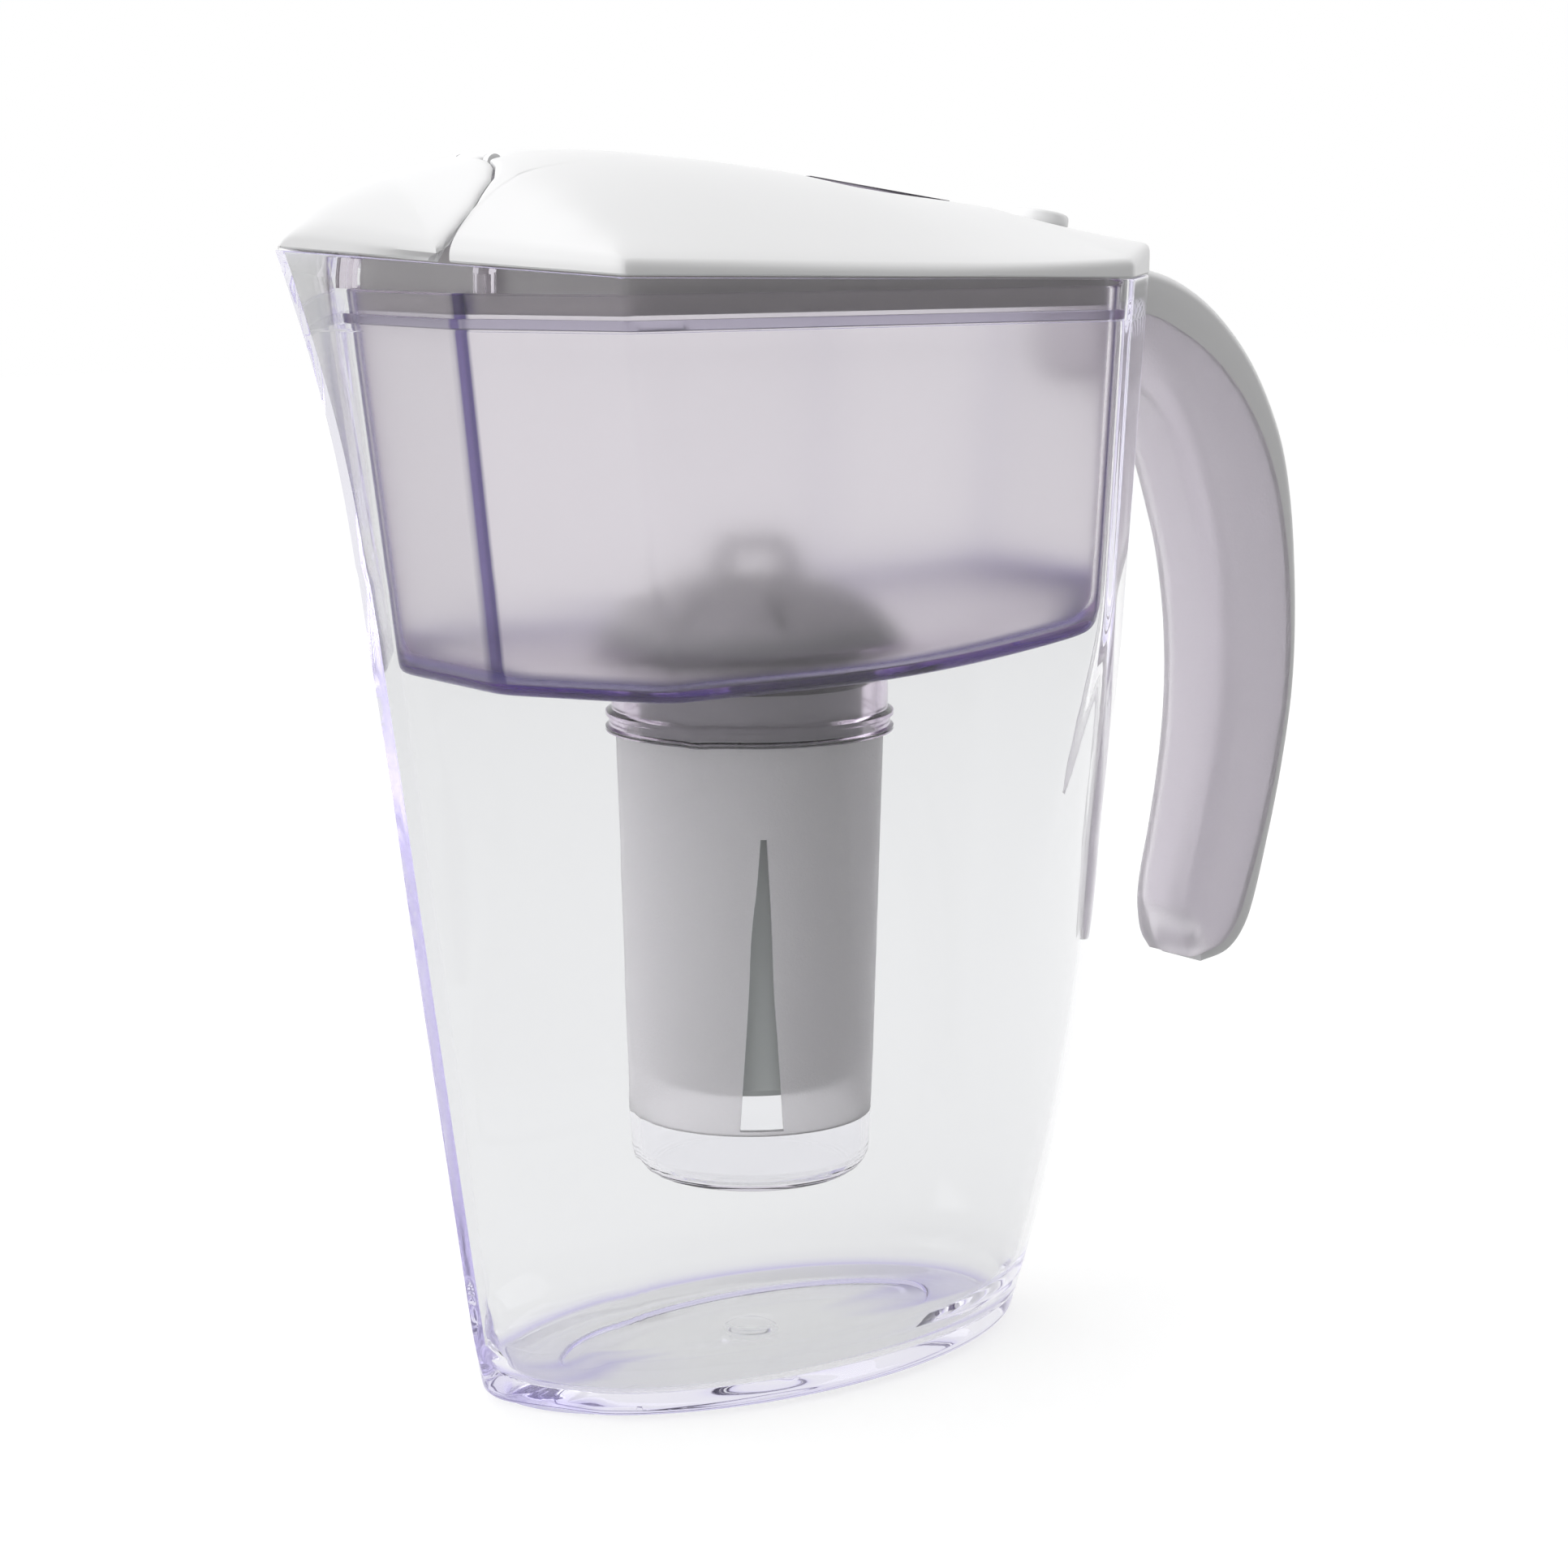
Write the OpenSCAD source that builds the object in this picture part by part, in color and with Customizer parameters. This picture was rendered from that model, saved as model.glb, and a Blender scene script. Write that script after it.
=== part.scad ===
// Water filter pitcher with a lift-out hopper, a hanging filter cartridge and a flip-spout lid.
// Origin: centre of the base on the table. The spout points to -X, the handle to +X, Z is up.

/* [Body] */
// Height of the rim at the handle end
rim_h = 226.9; // [215:0.1:240]
// Wall of the pitcher body
body_wall = 2.4; // [1.8:0.1:3]
// Wall of the body above the shoulder that carries the hopper
body_lip = 1.4; // [1:0.1:1.7]
// Thickness of the floor of the body
body_floor = 4; // [3:0.1:6]
// Half length of the base outline
base_a = 65; // [60:0.5:70]
// Half width of the base outline
base_b = 38; // [34:0.5:42]
// Radius of the bottom edge
base_edge = 3; // [1:0.1:4]
// Half width of the flat sides at the base plane
side_w = 49.2; // [46:0.1:52]
// Distance from the axis to the rear wall at the base plane
rear_x = 70.9; // [68:0.1:74]
// Half width of the rear wall
rear_w = 24; // [20:0.5:28]
// Distance from the axis to the nose line at the base plane
nose_x = 67.1; // [65:0.1:69]
// How far the pouring beak reaches out past the nose line at the rim
beak_out = 7.2; // [5:0.1:10]
// Height where the beak starts
beak_z = 172; // [160:1:190]

/* [Handle] */
// Width of the handle
grip_w = 23.5; // [18:0.5:26]
// Wall of the hollow grip
grip_wall = 2.5; // [1.8:0.1:3.5]
// Corner radius of the grip on the finger side
grip_round = 6; // [2:0.5:8]
// Edge radius of the handle cap
cap_round = 1.6; // [0.5:0.1:2]

/* [Hopper] */
// Height of the underside of the hopper
hopper_z = 148.8; // [140:0.2:160]
// Wall of the hopper
hopper_wall = 2; // [1.5:0.1:2.4]
// Gap between the body wall and the hopper wall
hopper_gap = 0.9; // [0.6:0.1:1.5]
// Floor thickness of the hopper
hopper_floor = 2.2; // [1.6:0.1:3]
// Distance from the axis to the flat front wall of the hopper at its floor
front_x = 72.6; // [68:0.1:74]
// Depth of the shoulder, which carries the hopper, below the rim
shoulder_d = 8.4; // [6:0.1:12]
// Thickness of the flange around the hopper
flange_t = 2; // [1.5:0.1:3]

/* [Well] */
// Outer radius of the well tube at its top
well_r = 27.7; // [26.5:0.1:28.5]
// Outer radius of the well tube at its bottom
well_r_low = 25.5; // [24.5:0.1:26]
// Wall of the well tube
well_wall = 1.6; // [1.2:0.1:1.8]
// Height of the joint between the well tube and the hopper neck
neck_z = 134; // [125:0.5:140]
// Height of the joint between the well tube and its cup
cup_z = 52.6; // [50:0.2:60]
// Height of the underside of the cup
cup_low = 39.5; // [36:0.5:45]
// Number of outlet slots in the well tube
slot_count = 3; // [1:1:4]
// Width of an outlet slot at its lower end
slot_w = 9; // [5:0.5:12]
// Height of the tip of an outlet slot
slot_tip_z = 115; // [90:1:125]

/* [Cartridge] */
// Room between the cartridge and the well at the top
cart_gap = 2.7; // [2.3:0.1:4]
// Room between the cartridge and the well at the bottom
cart_gap_low = 1.5; // [1:0.1:3]
// Height of the bottom of the cartridge
cart_low = 60; // [56:0.5:80]
// Wall of the cartridge
cart_wall = 1.8; // [1.2:0.1:2.5]
// How far the cartridge flange reaches past the well tube
cart_lap = 1.8; // [0.5:0.1:2.8]
// Height of the dome on the cartridge
dome_h = 9; // [6:0.5:14]
// Number of inlet vents in the dome
vent_count = 8; // [4:1:12]

/* [Lid] */
// Thickness of the lid roof
lid_t = 2; // [1.6:0.1:2.6]
// Running gap around the lid and the flap
lid_gap = 0.3; // [0.2:0.05:0.5]
// Height of the ridge above the rim at its highest point
ridge_h = 25.6; // [18:0.1:30]
// Depth of the inner skirt below the rim
skirt_d = 5.4; // [3:0.1:6.5]
// Wall of the inner skirt
skirt_wall = 1.6; // [1.2:0.1:2]
// Radius of the flap hinge pin
pin_r = 0.8; // [0.6:0.05:1]
// Distance from the axis to the flap hinge
hinge_x = 64.5; // [63:0.1:66]
// Radius of the round button
button_r = 6.3; // [6:0.1:9]
// How far the button stands out of the lid
button_out = 2.8; // [2:0.1:4]
// Travel of the button
button_travel = 1.5; // [0.8:0.1:2]
// Length of the indicator window
window_l = 36.6; // [20:0.2:40]
// Width of the indicator window
window_w = 13; // [8:0.5:16]

/* [Hidden] */
shoulder_z = rim_h - shoulder_d;
cart_r = well_r - well_wall - cart_gap;
cart_r_low = well_r_low - well_wall - cart_gap_low;
cart_flange_r = well_r + cart_lap;

fit = 0.3;
tilt_z = 1.9;
side_slope = 0.0213;
rear_slope = 0.077;
rear_corner_x = 47.4;
rear_corner_slope = 0.043;
nose_slope = 0.145;
nose_k = 0.637;
nose_n = sqrt(1 + nose_k * nose_k);
rim_back = 57;
rim_front = -66;
rim_rise = 0.116;
SEG = [3, 7, 12, 4, 3];

// ---- section of the body at height z, moved in by w ----
function side_at(z) = side_w + side_slope * z;
function rear_at(z) = rear_x + rear_slope * z;
function nose_at(z) = nose_x + nose_slope * z;
function ell_a(z) = z < 106 ? base_a + 0.36 * z - 0.0017 * z * z : base_a + 19.06 + 0.0024 * pow(z - 100, 2);
function ell_b(z) = base_b + 0.2 * z - 0.0002 * z * z;
function beak_t(z) = max(0, z - beak_z) / 61.7;
beak_w = 17.6;
function beak_y(z) = beak_w + 0.09 * max(0, z - beak_z);
function beak_k(z) = nose_k + beak_out * pow(beak_t(z), 2) / beak_y(z);
function beak_at(z) = nose_at(z) + beak_out * pow(beak_t(z), 2);
function rear_dir(z) = [rear_at(z) - rear_corner_x - rear_corner_slope * z, rear_w - side_at(z)];
function rear_len(z) = norm(rear_dir(z));
// each line is [nx, ny, d]: the region is nx * x + ny * y <= d
function l_side(z, w) = [0, 1, side_at(z) - w];
function l_nose(z, w) = [-1 / nose_n, nose_k / nose_n, nose_at(z) / nose_n - w];
function beak_n(z) = norm([1, beak_k(z)]);
function l_beak(z, w) = [-1 / beak_n(z), beak_k(z) / beak_n(z), beak_at(z) / beak_n(z) - w];
function rear_nrm(z) = [-rear_dir(z)[1], rear_dir(z)[0]] / rear_len(z);
function l_diag(z, w) = concat(rear_nrm(z), [rear_nrm(z) * [rear_at(z), rear_w] - w]);
function l_rear(z, w) = [1, 0, rear_at(z) - w];
function meet(p, q) = let (k = p[0] * q[1] - p[1] * q[0])
    [(p[2] * q[1] - p[1] * q[2]) / k, (p[0] * q[2] - p[2] * q[0]) / k];
function ang(p) = atan2(p[1], p[0]);
function reach(l, u) = let (k = l[0] * u[0] + l[1] * abs(u[1])) k > 0.0001 ? l[2] / k : 9999;
function ell_reach(a, b, u) = 1 / sqrt(pow(u[0] / a, 2) + pow(u[1] / b, 2));
function ramp(a, b, n) = [for (i = [0:n - 1]) a + (b - a) * i / n];
function fan(c) = concat(ramp(180, c[0], SEG[0]), ramp(c[0], c[1], SEG[1]), ramp(c[1], c[2], SEG[2]),
    ramp(c[2], c[3], SEG[3]), ramp(c[3], 0, SEG[4]), [0]);
function half_to_full(h) = concat(h, [for (i = [len(h) - 2:-1:1]) [h[i][0], -h[i][1]]]);
function corners(z, w) = [
    ang(beak_t(z) > 0 ? meet(l_nose(z, w), l_beak(z, w)) : meet(l_nose(z, w), [0, 1, beak_w])),
    ang(meet(l_nose(z, w), l_side(z, w))),
    ang(meet(l_side(z, w), l_diag(z, w))),
    ang(meet(l_diag(z, w), l_rear(z, w)))];
function body_r(z, w, u) = min(
    ell_reach(ell_a(z) - w, ell_b(z) - w, u),
    reach(l_side(z, w), u),
    max(reach(l_nose(z, w), u), beak_t(z) > 0 ? reach(l_beak(z, w), u) : 0),
    reach(l_diag(z, w), u),
    reach(l_rear(z, w), u));
function body_ring(z, w) = half_to_full([for (a = fan(corners(z, w)))
    let (u = [cos(a), sin(a)]) body_r(z, w, u) * u]);
// height of the rim at x
function rim_z(x) = x > rim_back ? rim_h
    : x > rim_front ? rim_h + tilt_z * (rim_back - x) / (rim_back - rim_front)
    : rim_h + tilt_z + rim_rise * (rim_front - x);
function flat_ring(z, w) = [for (p = body_ring(z, w)) [p[0], p[1], z]];
// a ring on the wall that follows the rim line, dz below it
function rim_ring(w, dz) = [for (p = body_ring(rim_h + tilt_z, w)) let (
    z = rim_z(p[0]) - dz,
    u = [p[0], p[1]] / norm([p[0], p[1]]),
    r = body_r(z, w, u)) [r * u[0], r * u[1], z]];
function ell_ring(a, b, z) = half_to_full([for (t = fan(corners(4, 0))) let (u = [cos(t), sin(t)])
    ell_reach(a, b, u) * u]);
function lift(ring, z) = [for (p = ring) [p[0], p[1], z]];
function base_in(z) = base_edge - sqrt(max(0, pow(base_edge, 2) - pow(base_edge - z, 2)));

// ---- a closed solid from rings: the first and last ring are closed by fans or joined ----
module rings(list, loop = false) {
    n = len(list[0]);
    m = len(list);
    pts = [for (r = list) for (p = r) p];
    last = loop ? m : m - 1;
    quads = [for (k = [0:last - 1]) for (i = [0:n - 1]) let (
        a = k * n + i,
        b = k * n + (i + 1) % n,
        c = ((k + 1) % m) * n + (i + 1) % n,
        d = ((k + 1) % m) * n + i) each [[a, b, c], [a, c, d]]];
    ends = loop ? [] : [for (i = [1:n - 2]) each [[0, i + 1, i],
        [(m - 1) * n, (m - 1) * n + i, (m - 1) * n + i + 1]]];
    polyhedron(pts, concat(quads, ends), convexity = 8);
}

// ---- pitcher body ----
body_out = [0.5, 1.4, 3, 9, 18, 28, 39, 51, 63, 76, 89, 102, 115, 128, 141, 155, 172, 183, 194, 206];
body_in = [206, 194, 183, 172, 155, 141, 128, 115, 102, 89, 76, 63, 51, 39, 28, 18, 11];
module pitcher_body() {
    color([0.9, 0.91, 0.93, 0.35]) rings(concat(
        [lift(ell_ring(base_a - base_edge, base_b - base_edge, 0), 0)],
        [for (z = body_out) flat_ring(z, base_in(min(z, base_edge)))],
        [flat_ring(shoulder_z, 0), rim_ring(0, 0)],
        [rim_ring(body_lip, 0), flat_ring(shoulder_z, body_lip), flat_ring(shoulder_z, body_wall)],
        [for (z = body_in) flat_ring(z, body_wall)],
        [lift(ell_ring(base_a - 3.6, base_b - 3.6, 0), body_floor + 2.2)],
        [lift(ell_ring(base_a - 5.4, base_b - 5.3, 0), body_floor + 0.6)],
        [lift(ell_ring(base_a - 8, base_b - 8, 0), body_floor)],
        [lift(ell_ring(46, 19.5, 0), body_floor)],
        [lift(ell_ring(44.6, 18.3, 0), body_floor - 0.8)],
        [lift(ell_ring(5.7, 5.7, 0), body_floor - 0.8)],
        [lift(ell_ring(4.6, 4.6, 0), body_floor + 0.2)]));
}

// ---- handle: stations along the handle, each [outer, boundary of the cap, inner] as [x, z] ----
root_x = rear_at(shoulder_z) + 0.75;
STATIONS = [
    [[root_x + 0.6, 228.4], [root_x - 0.35, 219.6], [rear_at(203.5) + 0.1, 203.5]],
    [[100.6, 227.6], [100.7, 217.7], [95.6, 202.4]],
    [[110.9, 224.3], [108.5, 214.6], [101.9, 199.8]],
    [[121, 218], [117.5, 209.4], [107, 195.6]],
    [[130.8, 208.3], [125.8, 202.3], [111.2, 188.9]],
    [[138, 197.2], [132.8, 193.4], [114.4, 181.4]],
    [[143.1, 184.9], [138.6, 182.4], [117.3, 173.2]],
    [[146.3, 168], [142.8, 167.5], [120.6, 162.6]],
    [[147.3, 149], [144.9, 149], [123.3, 147]],
    [[146.8, 132], [144.8, 132.4], [124, 131]],
    [[144.6, 116], [142.4, 117], [122.8, 115]],
    [[141.3, 100.3], [138.8, 101.8], [120.1, 99]],
    [[137.4, 85.4], [134, 87.2], [117.4, 87]],
    [[134, 76.4], [130.8, 78.8], [116.8, 79.2]],
    [[129.8, 70.8], [127.4, 73.2], [117.8, 73.9]],
    [[123.8, 68.6], [123, 70.4], [119.6, 70.2]]];
hand_rim = 226.9;
HAND = [for (s = STATIONS) [for (p = s) p + [0, rim_h - hand_rim]]];
HAND_W = [1, 1, 1, 1, 1, 1, 1, 1, 1, 1, 1, 1, 1, 0.98, 0.86, 0.62];
N_ST = len(HAND) - 1;
function mix(a, b, t) = a + (b - a) * t;
// point of the section at station k: y across, t from the boundary (0) to the inner face (1)
function h_pt(k, y, t) = let (p = mix(HAND[k][1], HAND[k][2], t)) [p[0], y * HAND_W[k], p[1]];
function c_pt(k, y, t) = let (p = mix(HAND[k][1], HAND[k][0], t)) [p[0], y * HAND_W[k], p[1]];
function depth(k) = norm(HAND[k][2] - HAND[k][1]);
function cap_t(k) = norm(HAND[k][0] - HAND[k][1]);
function u_out(k) = let (r = min(grip_round, depth(k) * 0.45), h = grip_w / 2, d = depth(k)) concat(
    [h_pt(k, -h, 0), h_pt(k, -h, (d - r) / d / 2)],
    [for (a = [0:30:90]) h_pt(k, -h + r - r * cos(a), (d - r + r * sin(a)) / d)],
    [for (a = [90:-30:0]) h_pt(k, h - r + r * cos(a), (d - r + r * sin(a)) / d)],
    [h_pt(k, h, (d - r) / d / 2), h_pt(k, h, 0)]);
function u_in(k) = let (
    h = grip_w / 2 - grip_wall,
    d0 = depth(k),
    d = k > N_ST - 3 ? 0.3 : d0 - grip_wall,
    r = min(max(grip_round - grip_wall, 0.5), d * 0.45)) concat(
    [h_pt(k, -h, 0), h_pt(k, -h, (d - r) / d0 / 2)],
    [for (a = [0:30:90]) h_pt(k, -h + r - r * cos(a), (d - r + r * sin(a)) / d0)],
    [for (a = [90:-30:0]) h_pt(k, h - r + r * cos(a), (d - r + r * sin(a)) / d0)],
    [h_pt(k, h, (d - r) / d0 / 2), h_pt(k, h, 0)]);
function flip(l) = [for (i = [len(l) - 1:-1:0]) l[i]];

// a U section swept along the stations, with its ends closed across the wall
module u_sweep() {
    n = len(u_out(0));
    m = N_ST + 1;
    w = 2 * n;
    pts = [for (k = [0:N_ST]) each concat(u_out(k), flip(u_in(k)))];
    quads = [for (k = [0:m - 2]) for (i = [0:w - 1]) let (
        a = k * w + i,
        b = k * w + (i + 1) % w,
        c = (k + 1) * w + (i + 1) % w,
        d = (k + 1) * w + i) each [[a, c, b], [a, d, c]]];
    e = (m - 1) * w;
    ends = [for (i = [0:n - 2]) each [
        [i, i + 1, w - 2 - i], [i, w - 2 - i, w - 1 - i],
        [e + i, e + w - 2 - i, e + i + 1], [e + i, e + w - 1 - i, e + w - 2 - i]]];
    polyhedron(pts, concat(quads, ends), convexity = 8);
}
module handle_grip() {
    color([0.82, 0.8, 0.85, 0.7]) u_sweep();
}
function cap_ring(k) = let (h = grip_w / 2, t = cap_t(k), r = min(cap_round, t * 0.7)) concat(
    [c_pt(k, -h, 0)],
    [for (a = [0:30:90]) c_pt(k, -h + r - r * cos(a), (t - r + r * sin(a)) / t)],
    [for (a = [90:-30:0]) c_pt(k, h - r + r * cos(a), (t - r + r * sin(a)) / t)],
    [c_pt(k, h, 0)]);
module handle_cap() {
    color("white") rings([for (k = [0:N_ST]) cap_ring(k)]);
}

// ---- hopper ----
front_slope = 0.122;
hop_nose = 84.6;
hop_nose_slope = 0.14;
function h_front(z, w) = [-1, 0, front_x + front_slope * (z - hopper_z) - w];
function h_nose(z, w) = [-1 / nose_n, nose_k / nose_n,
    (hop_nose + hop_nose_slope * (z - hopper_z)) / nose_n - w];
function hop_w(w) = body_wall + hopper_gap + w;
function hop_corners(z, w) = [
    ang(meet(h_front(z, w), h_nose(z, w))),
    ang(meet(h_nose(z, w), l_side(z, hop_w(w)))),
    ang(meet(l_side(z, hop_w(w)), l_diag(z, hop_w(w)))),
    ang(meet(l_diag(z, hop_w(w)), l_rear(z, hop_w(w))))];
function hop_r(z, w, u) = min(
    ell_reach(ell_a(z) - hop_w(w), ell_b(z) - hop_w(w), u),
    reach(h_front(z, w), u),
    reach(h_nose(z, w), u),
    reach(l_side(z, hop_w(w)), u),
    reach(l_diag(z, hop_w(w)), u),
    reach(l_rear(z, hop_w(w)), u));
function hop_ring(z, w) = half_to_full([for (a = fan(hop_corners(z, w)))
    let (u = [cos(a), sin(a)]) hop_r(z, w, u) * u]);
function hop_flat(z, w) = lift(hop_ring(z, w), z);
// the floor rises towards the handle
function floor_z(x) = hopper_z + 0.00117 * pow(max(0, x + 20), 2);
function hop_floor(z, w, dz) = [for (p = hop_ring(z, w)) [p[0], p[1], floor_z(p[0]) + dz]];
function hop_mid(q, r, dz) = let (o = hop_ring(hopper_z, 4)) [for (p = o) let (
    c = r * p / norm(p),
    v = mix(c, p, q)) [v[0], v[1], floor_z(v[0]) + dz]];
function round_ring(r, z) = half_to_full([for (a = fan(hop_corners(hopper_z, 0))) r * [cos(a), sin(a)]]);
// the flange follows the body lip, but stays behind the flat front wall
flange_gap = body_lip + fit;
function flange_r(z, u) = min(
    ell_reach(ell_a(z) - flange_gap, ell_b(z) - flange_gap, u),
    reach(h_front(z, -1.0), u),
    reach(h_nose(z, -1.3), u),
    reach(l_side(z, flange_gap), u),
    reach(l_diag(z, flange_gap), u),
    reach(l_rear(z, flange_gap), u));
function flange_ring(z) = [for (p = hop_ring(z, 0)) let (u = p / norm(p), r = flange_r(z, u))
    [r * u[0], r * u[1], z]];
neck_r = well_r + 0.9;
hop_top = rim_h - 1.4;
flange_z = shoulder_z + fit;
module hopper() {
    color([0.8, 0.76, 0.85, 0.6]) rings([
        lift(round_ring(neck_r + fit, 0), hopper_z),
        lift(round_ring(neck_r + 6, 0), hopper_z),
        hop_mid(0.5, neck_r + 6, 0),
        hop_floor(hopper_z, 3, 0),
        hop_floor(hopper_z + 1, 0.9, 1),
        hop_floor(hopper_z + 3, 0, 3.2),
        hop_flat(166, 0),
        hop_flat(183, 0),
        hop_flat(200, 0),
        hop_flat(flange_z, 0),
        flange_ring(flange_z),
        flange_ring(flange_z + flange_t),
        hop_flat(flange_z + flange_t, 0),
        hop_flat(hop_top, 0),
        hop_flat(hop_top, hopper_wall),
        hop_flat(flange_z, hopper_wall),
        hop_flat(200, hopper_wall),
        hop_flat(183, hopper_wall),
        hop_flat(166, hopper_wall),
        hop_floor(hopper_z + 3, hopper_wall, hopper_floor + 3),
        hop_floor(hopper_z + 1, hopper_wall + 1.2, hopper_floor + 0.8),
        hop_floor(hopper_z, hopper_wall + 3.2, hopper_floor),
        hop_mid(0.5, neck_r + 6, hopper_floor),
        lift(round_ring(neck_r + 6, 0), hopper_z + hopper_floor),
        lift(round_ring(neck_r + fit, 0), hopper_z + hopper_floor)], loop = true);
}

// ---- neck of the hopper: a seat ring on the floor, a short tube and the collar ----
seat_z = hopper_z + hopper_floor;
seat_t = 1.6;
neck_in = well_r - well_wall + 0.1;
module hopper_neck() {
    color([0.78, 0.74, 0.83, 0.6]) rotate_extrude($fn = 96) polygon([
        [neck_in, neck_z], [neck_r + 1.2, neck_z], [neck_r + 1.2, neck_z + 0.8],
        [neck_r + 0.5, neck_z + 1.2], [neck_r + 0.5, neck_z + 2.8], [neck_r + 1.2, neck_z + 3.2],
        [neck_r + 1.2, neck_z + 4], [neck_r, neck_z + 4.6], [neck_r, seat_z],
        [neck_r + 3.4, seat_z], [neck_r + 3.4, seat_z + seat_t], [neck_in, seat_z + seat_t]]);
}
// ---- two catches on the front corners of the hopper, which hold the lid ----
catch_z = hop_top;
catch_h = 4.4;
catch_y = 24.4;
catch_in = 4.4;
catch_l = 2.6;
module catch_box(s) {
    x = nose_k * catch_y - nose_at(catch_z) + catch_in;
    translate([x, s > 0 ? catch_y : -catch_y - 4, catch_z])
        difference() {
            cube([catch_l, 4, catch_h]);
            translate([0.8, 0.8, -1]) cube([catch_l - 1.6, 2.4, catch_h]);
        }
}
module hopper_catches() {
    color([0.85, 0.82, 0.9, 0.6]) {
        catch_box(1);
        catch_box(-1);
    }
}

// ---- well tube with its outlet slots, and its cup ----
module well_tube() {
    slot_low = cup_z + 1;
    color([0.85, 0.84, 0.88, 0.7]) difference() {
        rotate_extrude($fn = 96) polygon([
            [well_r_low - well_wall, cup_z], [well_r_low, cup_z],
            [well_r, neck_z], [well_r - well_wall, neck_z]]);
        for (i = [0:slot_count - 1]) rotate([0, 0, i * 360 / slot_count])
            rotate([90, 0, 90]) linear_extrude(height = well_r + 5)
                polygon([[-slot_w / 2, slot_low], [slot_w / 2, slot_low],
                    [0.65, slot_tip_z], [-0.65, slot_tip_z]]);
    }
}
module well_cup() {
    e = 5.5;
    r = well_r_low;
    t = well_wall;
    color([0.88, 0.88, 0.92, 0.5]) rotate_extrude($fn = 96) polygon(concat(
        [[0, cup_low]],
        [for (a = [0:15:90]) [r - 0.3 - e + e * sin(a), cup_low + e - e * cos(a)]],
        [[r, cup_z], [r - t, cup_z]],
        [for (a = [90:-15:0]) [r - 0.3 - e + (e - t) * sin(a), cup_low + e - (e - t) * cos(a)]],
        [[0, cup_low + t]]));
}

// ---- cartridge ----
cart_top = seat_z + seat_t + fit;
cart_flange_t = 2.4;
module cartridge_shell() {
    low = cart_low;
    color([0.72, 0.74, 0.74]) difference() {
        rotate_extrude($fn = 96) polygon([
            [0, low], [cart_r_low - 1.5, low], [cart_r_low, low + 1.5],
            [cart_r, cart_top - 9], [cart_r - 0.7, cart_top - 9], [cart_r - 0.7, cart_top - 5.6],
            [cart_r, cart_top - 5.6], [cart_r, cart_top],
            [cart_flange_r, cart_top], [cart_flange_r, cart_top + cart_flange_t],
            [cart_r - 2.4, cart_top + cart_flange_t],
            [cart_r - 2.4, cart_top - 9], [cart_r_low - cart_wall, low + 2.2], [0, low + 2.2]]);
        for (i = [0:7]) rotate([0, 0, i * 45]) translate([8, -1, low - 1]) cube([9, 2, 5]);
    }
}
module cartridge_seal() {
    color([0.25, 0.25, 0.27]) rotate_extrude($fn = 96) polygon([
        [cart_r - 0.7, cart_top - 8.9], [cart_r + 1.2, cart_top - 8.9], [neck_in - 0.15, cart_top - 7.6],
        [neck_in - 0.15, cart_top - 7], [cart_r + 1.2, cart_top - 5.7], [cart_r - 0.7, cart_top - 5.7]]);
}
module cartridge_media() {
    color([0.2, 0.2, 0.21]) translate([0, 0, cart_low + 3])
        cylinder(h = cart_top - cart_low - 4.2, r1 = cart_r_low - cart_wall - 0.2, r2 = cart_r - 2.7,
            $fn = 96);
}
module cartridge_screens() {
    color([0.85, 0.85, 0.85]) {
        translate([0, 0, cart_low + 2.2]) cylinder(h = 0.8, r = cart_r_low - cart_wall - 0.3, $fn = 96);
        translate([0, 0, cart_top - 1.2]) cylinder(h = 0.8, r = cart_r - 2.7, $fn = 96);
    }
}
dome_z = cart_top + cart_flange_t;
module cartridge_dome() {
    r0 = cart_flange_r - 2;
    r1 = r0 * 0.62;
    t = 1.8;
    color([0.7, 0.71, 0.72]) difference() {
        rotate_extrude($fn = 96) polygon([
            [r0, dome_z], [r0, dome_z + 1.6], [r0 - 2, dome_z + 4], [r1, dome_z + dome_h],
            [0, dome_z + dome_h], [0, dome_z + dome_h - t], [r1 - 0.6, dome_z + dome_h - t],
            [r0 - 3.6, dome_z + 3], [r0 - 3.6, dome_z]]);
        for (i = [0:vent_count - 1]) rotate([0, 0, (i + 0.5) * 360 / vent_count])
            translate([r1 - 1.5, -1.4, dome_z + 2.6]) cube([12, 2.8, dome_h]);
    }
}
module cartridge_tab() {
    z = dome_z + dome_h;
    color([0.7, 0.71, 0.72]) rotate([90, 0, 0]) translate([0, 0, -1.5])
        linear_extrude(height = 3) difference() {
            polygon([[-12, z], [12, z], [9, z + 8], [6.5, z + 10], [-6.5, z + 10], [-9, z + 8]]);
            polygon([[-7.5, z + 2], [7.5, z + 2], [5.8, z + 7], [-5.8, z + 7]]);
        }
}

// ---- lid: the roof height over the plan ----
rim_s = 0.98;
rim_nose = 108.1;
rim_mid = 100.4;
rim_k_x = 86;
// half width of the outline at x
function lid_w(x) = x < -rim_k_x ? (rim_nose + x) / rim_s
    : x < -65.8 ? (rim_mid + x) / nose_k
    : x < 57.1 ? side_at(rim_h)
    : side_at(rim_h) - (x - 57.1) * (side_at(rim_h) - rear_w) / (rear_at(rim_h) - 57.1);
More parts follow.
